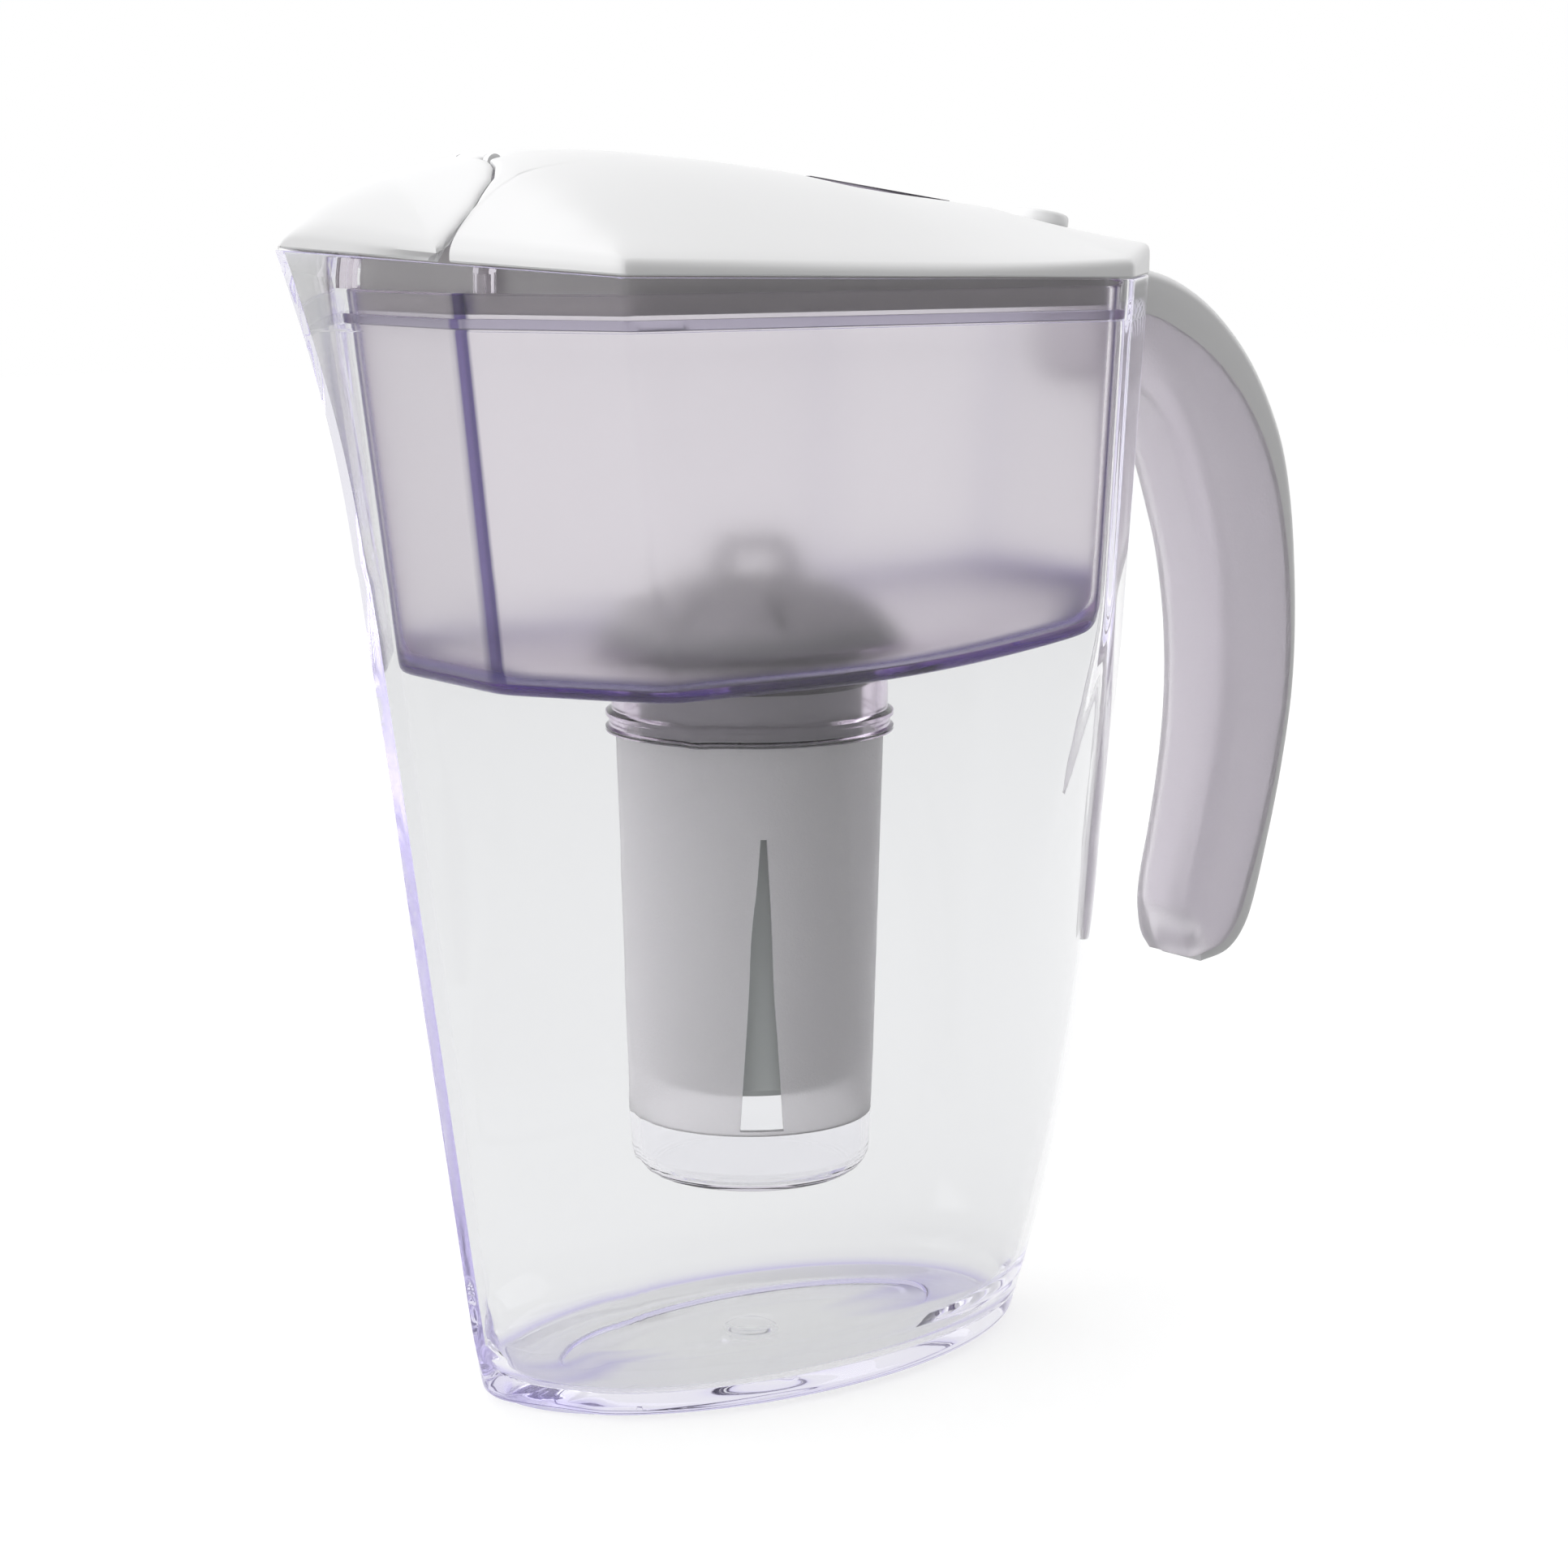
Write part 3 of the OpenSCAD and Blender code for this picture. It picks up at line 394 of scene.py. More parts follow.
def clear(name, color, rough, absorb=None, density=0.0, ior=1.46, grain=0.0, edge=None, frost=None,
          through=1.0):
    """Clear or frosted plastic. absorb tints its thickness, edge is painted shade for its masked edges, a darker
    violet for the light that runs through long paths of plastic there, and frost roughens its masked rings. grain is a
    fine texture, and without it the surface has a slight wave."""
    m, nt, b, out = new_mat(name)
    b.inputs["Base Color"].default_value = color + (1,)
    b.inputs["Transmission Weight"].default_value = through
    b.inputs["IOR"].default_value = ior
    vec = coords(nt)
    height = noise(nt, vec, 14.0, 2.0)
    r_out = span(nt, height, rough * 0.85, rough * 1.15 + 0.004)
    if grain:
        height = noise(nt, vec, 1600.0, 2.0, 0.6)
    bump(nt, b, height, grain if grain else 0.06, 0.0004)
    if edge:
        # the red of the mask mixes the painted edge shade into the base colour
        at = nt.nodes.new("ShaderNodeAttribute")
        at.attribute_name = "mask"
        sep = nt.nodes.new("ShaderNodeSeparateColor")
        nt.links.new(at.outputs["Color"], sep.inputs["Color"])
        mx = nt.nodes.new("ShaderNodeMix")
        mx.data_type = "RGBA"
        mx.inputs["A"].default_value = color + (1,)
        mx.inputs["B"].default_value = edge + (1,)
        nt.links.new(sep.outputs["Red"], mx.inputs["Factor"])
        nt.links.new(mx.outputs["Result"], b.inputs["Base Color"])
        if frost:
            add = nt.nodes.new("ShaderNodeMath")
            add.operation = "MULTIPLY_ADD"
            nt.links.new(sep.outputs["Green"], add.inputs[0])
            add.inputs[1].default_value = frost
            nt.links.new(r_out, add.inputs[2])
            r_out = add.outputs[0]
    nt.links.new(r_out, b.inputs["Roughness"])
    if absorb:
        v = nt.nodes.new("ShaderNodeVolumeAbsorption")
        v.inputs["Color"].default_value = absorb + (1,)
        v.inputs["Density"].default_value = density
        nt.links.new(v.outputs["Volume"], out.inputs["Volume"])
    return m


def plastic(name, color, rough, grain, scale, tone=0.02):
    """Opaque moulded plastic or rubber, with a fine grain and a slow change of tone."""
    m, nt, b, _ = new_mat(name)
    vec = coords(nt)
    soft = noise(nt, vec, 18.0, 3.0)
    mix = nt.nodes.new("ShaderNodeMix")
    mix.data_type = "RGBA"
    mix.inputs["A"].default_value = tuple(max(0.0, c - tone) for c in color) + (1,)
    mix.inputs["B"].default_value = tuple(min(1.0, c + tone) for c in color) + (1,)
    nt.links.new(soft, mix.inputs["Factor"])
    nt.links.new(mix.outputs["Result"], b.inputs["Base Color"])
    fine = noise(nt, vec, scale, 3.0, 0.6)
    nt.links.new(span(nt, fine, rough - 0.03, rough + 0.04), b.inputs["Roughness"])
    bump(nt, b, fine, grain, 0.0002)
    return m


def steel(name, color):
    m, nt, b, _ = new_mat(name)
    b.inputs["Metallic"].default_value = 1.0
    b.inputs["Base Color"].default_value = color + (1,)
    nt.links.new(span(nt, noise(nt, coords(nt), 600.0), 0.18, 0.32), b.inputs["Roughness"])
    return m


VIOLET = (0.7, 0.0, 1.0)
# painted shade: darker violet laid on edges for the light that runs through long paths of plastic at the body's foot
# and groove and the hopper's corners and flange
BODY_EDGE_SHADE = (0.5, 0.45, 0.8)
HOPPER_EDGE_SHADE = (0.06, 0.04, 0.2)
M_BODY = clear("mat_clear_body", (0.862, 0.866, 0.87), 0.01, (0.7, 0.62, 1.0), 2.5, ior=1.25, edge=BODY_EDGE_SHADE)
M_CUP = clear("mat_clear_cup", (0.98, 0.98, 0.99), 0.03, VIOLET, 2.0, ior=1.2)
M_HOPPER = clear("mat_tinted", (0.99, 0.972, 0.982), 0.03, VIOLET, 7.0, ior=1.4, edge=HOPPER_EDGE_SHADE, frost=0.3)
M_NECK = clear("mat_tinted_neck", (0.93, 0.9, 0.93), 0.12, VIOLET, 12.0, ior=1.4)
M_FROST = clear("mat_frosted", (0.95, 0.93, 0.95), 0.4, grain=0.2, ior=1.3, through=0.55)
M_GRIP = clear("mat_frosted_grip", (0.93, 0.9, 0.945), 0.35, grain=0.15, ior=1.35, through=0.8)
M_HEAD = clear("mat_cartridge_head", (1.0, 0.99, 1.0), 0.5, grain=0.2, ior=1.3, through=0.4)
# the clear lens is darkened as painted shade for the shade inside the counter's window
M_LENS_SHADE = clear("mat_lens_painted_shade", (0.3, 0.27, 0.33), 0.08, ior=1.4)
M_WHITE = plastic("mat_white", (0.87, 0.87, 0.875), 0.42, 0.04, 1200.0)
# grey for the cartridge's screens and the indicator pod, and painted shade on the lid's skirt, a white moulding in the
# shade under the roof
M_GREY_AND_SKIRT_SHADE = plastic("mat_grey_and_skirt_shade", (0.42, 0.4, 0.41), 0.5, 0.05, 1000.0)
M_CART = plastic("mat_cartridge", (0.42, 0.44, 0.43), 0.5, 0.06, 700.0)
M_SEAL = plastic("mat_seal", (0.03, 0.03, 0.032), 0.6, 0.1, 500.0, tone=0.005)
M_MEDIA = plastic("mat_media", (0.03, 0.03, 0.032), 0.8, 0.8, 260.0, tone=0.01)
M_DARK = plastic("mat_dark", (0.03, 0.03, 0.035), 0.4, 0.03, 900.0, tone=0.005)
M_STEEL = steel("mat_pin_steel", (0.7, 0.7, 0.72))

MATS = {
    "pitcher_body": M_BODY, "handle_grip": M_GRIP, "handle_cap": M_WHITE, "hopper": M_HOPPER,
    "hopper_neck": M_NECK, "hopper_catches": M_NECK, "well_tube": M_FROST, "well_cup": M_CUP,
    "cartridge_shell": M_CART, "cartridge_dome": M_HEAD, "cartridge_tab": M_HEAD, "cartridge_seal": M_SEAL,
    # the lid's skirt takes the grey as painted shade
    "cartridge_screens": M_GREY_AND_SKIRT_SHADE, "cartridge_media": M_MEDIA, "lid_cover": M_WHITE, "lid_skirt": M_GREY_AND_SKIRT_SHADE,
    "lid_hinge_ears": M_WHITE, "flap_pin": M_STEEL, "spout_flap": M_WHITE, "window_lens": M_LENS_SHADE,
    "window_bar": M_DARK, "indicator_pod": M_GREY_AND_SKIRT_SHADE, "counter_button": M_WHITE, "button_guide": M_WHITE,
    "button_spring": M_STEEL,
}
for name, mat in MATS.items():
    mesh = N[name].data
    mesh.materials.clear()
    mesh.materials.append(mat)


# ---------------------------------------------------------------- pitcher body
THIN_TURN, THIN_H = 0.08, 60  # over this angle and this height the wall thins towards the spout
GROOVE_A, GROOVE_B = 46.0, 19.5


def ease(t):
    """From 0 to 1, level at both ends."""
    return t * t * (3 - 2 * t)


def wall_r(z, w, a):
    """The inner wall, which thins towards the rim inside the spout instead of making a shoulder there."""
    spout = min(1.0, max(0.0, (abs(a) - hop_corners(z, 0)[0]) / THIN_TURN + 1))
    rise = max(0.0, 1 - (SHOULDER_Z - z) / THIN_H)
    return body_r(z, w + (BODY_LIP - w) * ease(spout) * rise, a)


def wall_ring(z, w):
    return ring(wall_r, body_corners, z, w)


def body_mesh():
    # the underside, the rounded foot and the outer wall
    out = [[(0, 0, 0)] * len(ell_ring(5, 5, 0))]
    out += [ell_ring(a, b, 0) for a, b in ((20, 12), (45, 26), (BASE_A - BASE_EDGE, BASE_B - BASE_EDGE))]
    out += [body_ring(z, base_in(z)) for z in [0.05, 0.2, 0.5, 0.9, 1.5, 2.2, 3.0] + list(np.arange(5.5, 216, 2.4))]
    out.append(body_ring(SHOULDER_Z, 0))
    # over the rim
    out += [rim_ring(w, dz) for w, dz in (
        (0, 4.5), (0, 2.0), (0, 0.6), (0, 0.25), (0.1, 0.08), (0.35, 0), (BODY_LIP - 0.3, 0), (BODY_LIP, 0.3),
        (BODY_LIP, 4.0))]
    # the shoulder and the inner wall
    out += [body_ring(SHOULDER_Z + 0.4, BODY_LIP), wall_ring(SHOULDER_Z, BODY_LIP + 0.15),
            wall_ring(SHOULDER_Z, BODY_WALL - 0.15), wall_ring(SHOULDER_Z - 0.3, BODY_WALL)]
    out += [wall_ring(z, BODY_WALL) for z in np.arange(214, 12, -3.2)]
    # the floor, with its rounded edge, its groove and the small boss in its middle
    f = BODY_FLOOR
    out += [ell_ring(BASE_A - a, BASE_B - a, z) for a, z in (
        (2.6, 9.5), (2.9, 8.0), (3.5, 6.6), (4.3, 5.5), (5.4, 4.7), (6.6, 4.15), (8.0, f))]
    out += [ell_ring(a, b, f + dz) for a, b, dz in (
        (47.0, 20.4, 0), (46.4, 19.9, -0.05), (45.9, 19.4, -0.3), (45.6, 19.1, -0.7), (45.0, 18.6, -0.8),
        (30, 13, -0.8), (6.2, 6.2, -0.8), (5.6, 5.6, -0.6), (5.0, 5.0, -0.1), (4.3, 4.3, 0.15), (2.5, 2.5, 0.2))]
    out.append([(0, 0, f + 0.2)] * len(out[0]))
    return out


def body_edge_shade(x, y, z):
    """Where the painted edge shade goes: 1 along the foot and the groove of the base, 0 elsewhere."""
    if z >= 5:
        return 0.0
    foot = math.hypot(x / BASE_A, y / BASE_B) - 0.97
    groove = math.hypot(x / GROOVE_A, y / GROOVE_B) - 1
    return max(0.0, 1 - abs(foot) / 0.05, 1 - abs(groove) / 0.04)


body = make("body_clear", "pitcher", body_mesh(), M_BODY, sharp=40, edge=body_edge_shade)
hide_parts("pitcher_body")


# ---------------------------------------------------------------- hopper
FLANGE_GAP = BODY_LIP + FIT
FLANGE_Z = SHOULDER_Z + FIT
FLANGE_TOP = FLANGE_Z + FLANGE_T
NECK_R = WELL_R + 0.9
SEAT_R = NECK_R + 6
LEVEL_Z = HOPPER_Z + 20  # above it the rings of the hopper are level
HOP_TOP = RIM_H - 1.4


def floor_z(x):
    """The underside of the floor, which rises towards the rear."""
    return HOPPER_Z + 0.00117 * max(0.0, x + 20) ** 2


def hop_floor(z, w, dz):
    return [(x, y, floor_z(x) + dz) for x, y, _ in hop_ring(z, w)]


def round_ring(r, z):
    return full([polar(r, a, z) for a in fan(hop_corners(HOPPER_Z, 0))])


def hop_mid(t, dz):
    """A ring of the floor, t of the way from the seat of the neck to the outer edge."""
    level = min(1, 2 * t)
    out = []
    for x, y, _ in hop_ring(HOPPER_Z, 4):
        d = math.hypot(x, y)
        a, b = SEAT_R * x / d, SEAT_R * y / d
        a, b = a + (x - a) * t, b + (y - b) * t
        out.append((a, b, floor_z(a) * level + HOPPER_Z * (1 - level) + dz))
    return out


def hop_wall(w, dz, steps):
    """Rings between the rising floor, 0, and the lowest level ring, 1."""
    out = []
    for t in steps:
        ring_ = []
        for x, y, low in hop_floor(HOPPER_Z + 3, w, dz):
            z, a = low + (LEVEL_Z - low) * t, math.atan2(y, x)
            ring_.append(polar(hop_r(z, w, a), a, z))
        out.append(ring_)
    return out


def flange_r(z, a):
    c, s = math.cos(a), math.sin(a)
    lines = front_lines(z, -1.0, -1.3) + [line(z, FLANGE_GAP) for line in (line_side, line_diag, line_rear)]
    ell = ell_reach(ell_a(z) - FLANGE_GAP, ell_b(z) - FLANGE_GAP, c, s)
    return soft_min([ell] + [reach(l, c, s) for l in lines], BODY_SOFT)


def flange_ring(z, w=0.0):
    out = []
    for x, y, _ in hop_ring(z, 0):
        a = math.atan2(y, x)
        out.append(polar(flange_r(z, a) - w, a, z))
    return out


def hopper_mesh():
    """The rings of the basin, under its floor, up the outside and down the inside, and how many are outside."""
    wall, base = HOPPER_WALL, HOPPER_FLOOR
    out = [round_ring(NECK_R + FIT, HOPPER_Z), round_ring(SEAT_R, HOPPER_Z)]
    out += [hop_mid(t, 0) for t in (0.25, 0.5, 0.75)]
    out += [hop_floor(HOPPER_Z + dz, w, dz) for w, dz in ((2.2, 0), (1.3, 0.15), (0.5, 0.6), (0.1, 1.3), (0, 2.2))]
    out += hop_wall(0, 3.0, (0.15, 0.35, 0.6, 0.8, 1.0))
    out += [hop_ring(z, 0) for z in list(np.arange(LEVEL_Z + 4, 216, 5.0)) + [FLANGE_Z]]
    out += [flange_ring(FLANGE_Z, 0.2), flange_ring(FLANGE_Z + 0.2), flange_ring(FLANGE_TOP - 0.2),
            flange_ring(FLANGE_TOP, 0.2), hop_ring(FLANGE_TOP, 0), hop_ring(HOP_TOP - 0.3, 0),
            hop_ring(HOP_TOP, 0.3)]
    outside = len(out)
    out += [hop_ring(HOP_TOP, wall - 0.3), hop_ring(HOP_TOP - 0.3, wall), hop_ring(FLANGE_Z, wall)]
    out += [hop_ring(z, wall) for z in np.arange(214, LEVEL_Z + 3, -5.0)]
    out += hop_wall(wall, base + 3, (1.0, 0.8, 0.6, 0.35, 0.15))
    out += [hop_floor(HOPPER_Z + up, wall + w, base + dz) for up, w, dz in (
        (3, 0, 3), (1, 0.5, 1.6), (1, 1.4, 0.5), (0, 3, 0))]
    out += [hop_mid(t, base) for t in (0.75, 0.5, 0.25)]
    out += [round_ring(SEAT_R, HOPPER_Z + base), round_ring(NECK_R + FIT, HOPPER_Z + base)]
    return out, outside


def hop_edge_shade(x, y, z):
    """Where the painted edge shade goes: 1 along the upright corners and the lower edge of the hopper, 0.7 round its
    flange, 0 on its walls.
    """
    v, r, a = 0.0, math.hypot(x, y), math.atan2(y, x)
    front, _, side, rear = hop_corners(z, 0)
    for turn, wide in ((front, 1.9), (side, 0.3), (rear, 0.5)):
        px, py, _ = polar(hop_r(z, 0, turn), turn, z)
        v = max(v, 1 - max(0.0, math.hypot(x - px, abs(y) - py) - wide) / 0.5)
    if FLANGE_Z - 0.1 < z < FLANGE_TOP + 0.1 and r > flange_r(z, a) - 0.5:
        v = max(v, 0.7)
    if z < FLANGE_Z - 1 and r > 0.93 * hop_r(z, 2, a):
        v = max(v, 1 - max(0.0, z - floor_z(x) - 2.3) / 0.8)
    return min(1.0, v)


hop_rings, hop_outside = hopper_mesh()
hopper = make("hopper_basin", "hopper", hop_rings, M_HOPPER, loop=True, sharp=35,
              frost=[0.0] * hop_outside + [1.0] * (len(hop_rings) - hop_outside), edge=hop_edge_shade)
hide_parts("hopper")


# ---------------------------------------------------------------- handle
# Each station gives a point (x, z) of the outer line, of the line between cap and grip, and of the finger line.
ROOT_X = rear_at(SHOULDER_Z) + 0.75
HAND = [((ROOT_X + 0.6, 228.4), (ROOT_X - 0.35, 219.6), (rear_at(203.5) + 0.1, 203.5)),
        ((100.6, 227.6), (100.7, 217.7), (95.6, 202.4)), ((110.9, 224.3), (108.5, 214.6), (101.9, 199.8)),
        ((121, 218), (117.5, 209.4), (107, 195.6)), ((130.8, 208.3), (125.8, 202.3), (111.2, 188.9)),
        ((138, 197.2), (132.8, 193.4), (114.4, 181.4)), ((143.1, 184.9), (138.6, 182.4), (117.3, 173.2)),
        ((146.3, 168), (142.8, 167.5), (120.6, 162.6)), ((147.3, 149), (144.9, 149), (123.3, 147)),
        ((146.8, 132), (144.8, 132.4), (124, 131)), ((144.6, 116), (142.4, 117), (122.8, 115)),
        ((141.3, 100.3), (138.8, 101.8), (120.1, 99)), ((137.4, 85.4), (134, 87.2), (117.4, 87)),
        ((134, 76.4), (130.8, 78.8), (116.8, 79.2)), ((129.8, 70.8), (127.4, 73.2), (117.8, 73.9)),
        ((123.8, 68.6), (123, 70.4), (119.6, 70.2))]
HAND_W = [1] * 13 + [0.98, 0.86, 0.62]
HAND_STEPS, CLOSE_STEPS = 6, 14  # steps between two stations, and steps in which the hollow of the grip closes
OUTER, JOIN, FINGERS = 0, 1, 2
GRIP_H, GRIP_WALL = 11.75, 2.5


def spline(vals, n):
    """Smooth values through vals, with n steps for each span."""
    v = np.array(vals, float)
    v = np.concatenate([[2 * v[0] - v[1]], v, [2 * v[-1] - v[-2]]])
    out = []
    for a, b, c, d in zip(v[:-3], v[1:-2], v[2:-1], v[3:]):
        for t in np.arange(n) / n:
            bend = (2 * a - 5 * b + 4 * c - d) * t * t + (3 * b - a - 3 * c + d) * t ** 3
            out.append(0.5 * (2 * b + (c - a) * t + bend))
    out.append(v[-2])
    return np.array(out)


LINES = [spline([h[k] for h in HAND], HAND_STEPS) for k in (OUTER, JOIN, FINGERS)]
WIDTHS = spline([[w] for w in HAND_W], HAND_STEPS)[:, 0].clip(0.6, 1)


def hand_pt(k, y, d, to):
    """The point y across and d mm from the joining line towards another one, at step k."""
    a, b = LINES[JOIN][k], LINES[to][k]
    p = a + (b - a) / np.linalg.norm(b - a) * d
    return (p[0], y * WIDTHS[k], p[1])


def depth(k, to):
    return float(np.linalg.norm(LINES[to][k] - LINES[JOIN][k]))


def u_line(h, d, r, down, turn):
    """A section 2 h wide and d deep with corners of radius r, as (across, deep)."""
    half = [(-h, (d - r) * t) for t in np.linspace(0, 1, down)[:-1]]
    half += [(-h + r - r * math.cos(a), d - r + r * math.sin(a)) for a in np.linspace(0, math.pi / 2, turn)]
    mid = [((-h + r) * (1 - 2 * t), d) for t in np.linspace(0, 1, 7)[1:-1]]
    return half + mid + [(-y, q) for y, q in reversed(half)]


def grip_rings():
    out, last = [], len(WIDTHS) - 1
    for k in range(last + 1):
        d = depth(k, FINGERS)
        end = max(0.0, 1 - (last - k) / CLOSE_STEPS)
        deep = (d - GRIP_WALL) * (1 - end) + 0.3 * end
        outer = u_line(GRIP_H, d, min(6.0, d * 0.45), 7, 9)
        inner = u_line(GRIP_H - GRIP_WALL, deep, min(3.5, deep * 0.45), 7, 9)
        out.append([hand_pt(k, y, q, FINGERS) for y, q in outer + inner[::-1]])
    return out


def cap_rings():
    out = []
    for k in range(len(WIDTHS)):
        d = depth(k, OUTER)
        out.append([hand_pt(k, y, q, OUTER) for y, q in u_line(GRIP_H, d, min(2.4, d * 0.75), 3, 7)])
    return out


grip = make("grip", "pitcher", grip_rings(), M_GRIP, sharp=40)
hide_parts("handle_grip")
cap = make("cap", "pitcher", cap_rings(), M_WHITE, sharp=40)
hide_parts("handle_cap")


# ---------------------------------------------------------------- lid
# Heights over the rim, along x: the ridge of the roof and its outer edge.
RIDGE = np.array([(-108.2, 7.4), (-105, 10.6), (-101, 14), (-94, 17.5), (-87, 19.8), (-80, 21.6), (-72, 23.2),
                  (-65, 24.4), (-58, 25.3), (-50, 25.6), (-39, 25.5), (-28, 24.9), (-16, 24), (-4, 22.8), (8, 21.4),
                  (20, 19.2), (33, 17.4), (46, 16), (56, 14.7), (64, 13), (76, 10.8), (88.6, 8.4)])
EDGE = np.array([(-108, 4.2), (-86, 3.4), (-61, 3), (55, 3.9), (70, 5), (88.4, 6.8)])
ROUND_E = 0.4
BEAK_END, NOSE_END, SIDE_END = -86, -65.8, 57.1
HINGE_X, BARREL_R = -64.5, 1.7


def pchip(tab):
    """A smooth function through the pairs of tab."""
    x, y = tab[:, 0], tab[:, 1]
    h, d = np.diff(x), np.diff(y) / np.diff(x)
    m = np.concatenate([[d[0]], (d[:-1] * h[1:] + d[1:] * h[:-1]) / (h[1:] + h[:-1]), [d[-1]]])

    def f(q):
        q = min(max(q, x[0]), x[-1])
        i = min(int(np.searchsorted(x, q, side="right")) - 1, len(h) - 1)
        t = (q - x[i]) / h[i]
        a, b = y[i], y[i + 1]
        return ((2 * t ** 3 - 3 * t * t + 1) * a + (t ** 3 - 2 * t * t + t) * h[i] * m[i]
                + (3 * t * t - 2 * t ** 3) * b + (t ** 3 - t * t) * h[i] * m[i + 1])
    return f


ridge_up, edge_up = pchip(RIDGE), pchip(EDGE)


def lid_w(x):
    """Half the width of the lid."""
    side, rear = side_at(RIM_H), rear_at(RIM_H)
    if x < BEAK_END:
        return (108.1 + x) / 0.98
    if x < NOSE_END:
        return (100.4 + x) / NOSE_K
    if x < SIDE_END:
        return side
    return side - (x - SIDE_END) * (side - REAR_W) / (rear - SIDE_END)


def ridge_z(x):
    return RIM_H + ridge_up(x)


def edge_z(x):
    return rim_z(x) + edge_up(x)


def arch(u):
    """The fall from the rounded ridge, 0, to the edge, 1."""
    e = ROUND_E
    return (math.sqrt(u * u + e * e) - e) / (math.sqrt(1 + e * e) - e)


def roof(x, y):
    u = min(1.0, abs(y) / max(0.5, lid_w(x)))
    return ridge_z(x) - (ridge_z(x) - edge_z(x)) * arch(u)


CUT = [(-62.4, 0), (-62.4, 4), (-62.4, 7.6), (-66.1, 8.2), (-66.2, 9), (-67.2, 12), (-70.3, 16.5), (-77.5, 21.5)]
FLAP = [(HINGE_X, 0), (HINGE_X, 5.1), (-66.6, 5.5), (-66.6, 8.8), (-67.7, 11.8), (-70.8, 16.1), (-77.8, 21),
        (-82, 22.2)]
COVER_TIP, FLAP_TIP = math.atan2(24.3, -84.9), math.atan2(22.4, -86)


def finer(pts, n):
    out = []
    for p, q in zip(pts[:-1], pts[1:]):
        out += [(p[0] + (q[0] - p[0]) * t, p[1] + (q[1] - p[1]) * t) for t in np.arange(n) / n]
    return out


def rim_pt(a, w, up):
    return polar(body_r(RIM_H + TILT_Z + up, w, a), a, 0)[:2]


def cover_plan(w):
    """The outline of the cover, and how many of its points are along the cut for the flap."""
    front = finer([(x + w * 0.8, y) for x, y in CUT] + [rim_pt(COVER_TIP, w, 0)], 4)
    _, side, diag, rear = body_corners(RIM_H + 2, 0)
    angles = spread(COVER_TIP, side, 18) + spread(side, diag, 60) + spread(diag, rear, 26) + spread(rear, 0.0, 14)
    return full(front + [rim_pt(a, w, 0) for a in angles + [0.0]]), len(front)


def inset(plan, w, cx=0.0):
    """The plan, w mm closer to (cx, 0)."""
    out = []
    for x, y in plan:
        k = w / math.hypot(x - cx, y)
        out.append((x - (x - cx) * k, y * (1 - k)))
    return out


def shrunk(plan, q, dz, cx=0.0):
    """The plan scaled by q about (cx, 0), as a ring dz under the roof."""
    return [(x, y, roof(x, y) - dz) for x, y in ((cx + (p[0] - cx) * q, p[1] * q) for p in plan)]


def cover_rings():
    outer, k = cover_plan(0)
    inner, _ = cover_plan(LID_WALL)
    n = len(outer)

    def is_cut(i):
        return i < k or i > n - k

    def low(plan, dz, up):
        """A ring dz under the roof along the cut, and up over the rim elsewhere."""
        return [(x, y, roof(x, y) - dz if is_cut(i) else rim_z(x) + LID_GAP + up) for i, (x, y) in enumerate(plan)]

    rows = [shrunk(inner, q, LID_T) for q in (0.12, 0.3, 0.5, 0.7, 0.86)]
    rows.append(shrunk(inner, 1, LID_T + 0.8))
    rows += [low(inner, LID_T, 0.05), low(inset(outer, 0.35), LID_T * 0.95, 0.0), low(outer, LID_T * 0.8, 0.3)]
    for t in (0.35, 0.7):
        rows.append([(x, y, roof(x, y) - LID_T * 0.8 * (1 - t) - 0.5 * t if is_cut(i)
                      else (rim_z(x) + LID_GAP + 0.3) * (1 - t) + (roof(x, y) - 1.9) * t)
                     for i, (x, y) in enumerate(outer)])
    for w, dz in ((0, 1.9), (0.04, 1.35), (0.22, 0.85), (0.6, 0.42), (1.2, 0.14), (2.0, 0.02)):
        rows.append([(x, y, roof(x, y) - dz * (0.26 if is_cut(i) else 1)) for i, (x, y) in enumerate(inset(outer, w))])
    top = inset(outer, 2.0)
    return rows + [shrunk(top, q, 0) for q in (0.93, 0.87, 0.8, 0.72, 0.63, 0.54, 0.45, 0.36, 0.27, 0.18, 0.09)]


def on_ridge(x, x0, x1):
    """The place on the ridge at x, tilted as the ridge is from x0 to x1."""
    tilt = math.atan((ridge_z(x0) - ridge_z(x1)) / (x1 - x0))
    return Matrix.Translation((x, 0, ridge_z(x))) @ Matrix.Rotation(tilt, 4, "Y")


BUTTON, WINDOW = on_ridge(77.5, 64, 88), on_ridge(29.2, 12, 46)
cover = make("cover", "lid", cover_rings(), M_WHITE, sharp=32)
cut(cover, drum(6.6, -8, 8, BUTTON))
cut(cover, block(18.6, 6.8, 8, WINDOW))
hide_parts("lid_cover")


def skirt_rings():
    gap, wall, low = HOPPER_WALL + 0.5, 1.6, RIM_H - 5.4

    def top(w):
        """Close under the roof, and low where the button's guide is."""
        out = []
        for x, y, _ in hop_ring(RIM_H, w):
            bay = x > 64.5 and abs(y) < 11.3
            out.append((x, y, RIM_H + 0.5 if bay else min(roof(x, y) - LID_T - 0.8, RIM_H + 7)))
        return out
    return [hop_ring(low, gap + wall), hop_ring(low, gap + 0.3), hop_ring(low + 0.3, gap), top(gap), top(gap + wall)]


# the grey of the skirt is painted shade under the lid's roof
skirt = make("skirt", "lid", skirt_rings(), M_GREY_AND_SKIRT_SHADE, loop=True, sharp=35)
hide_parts("lid_skirt")


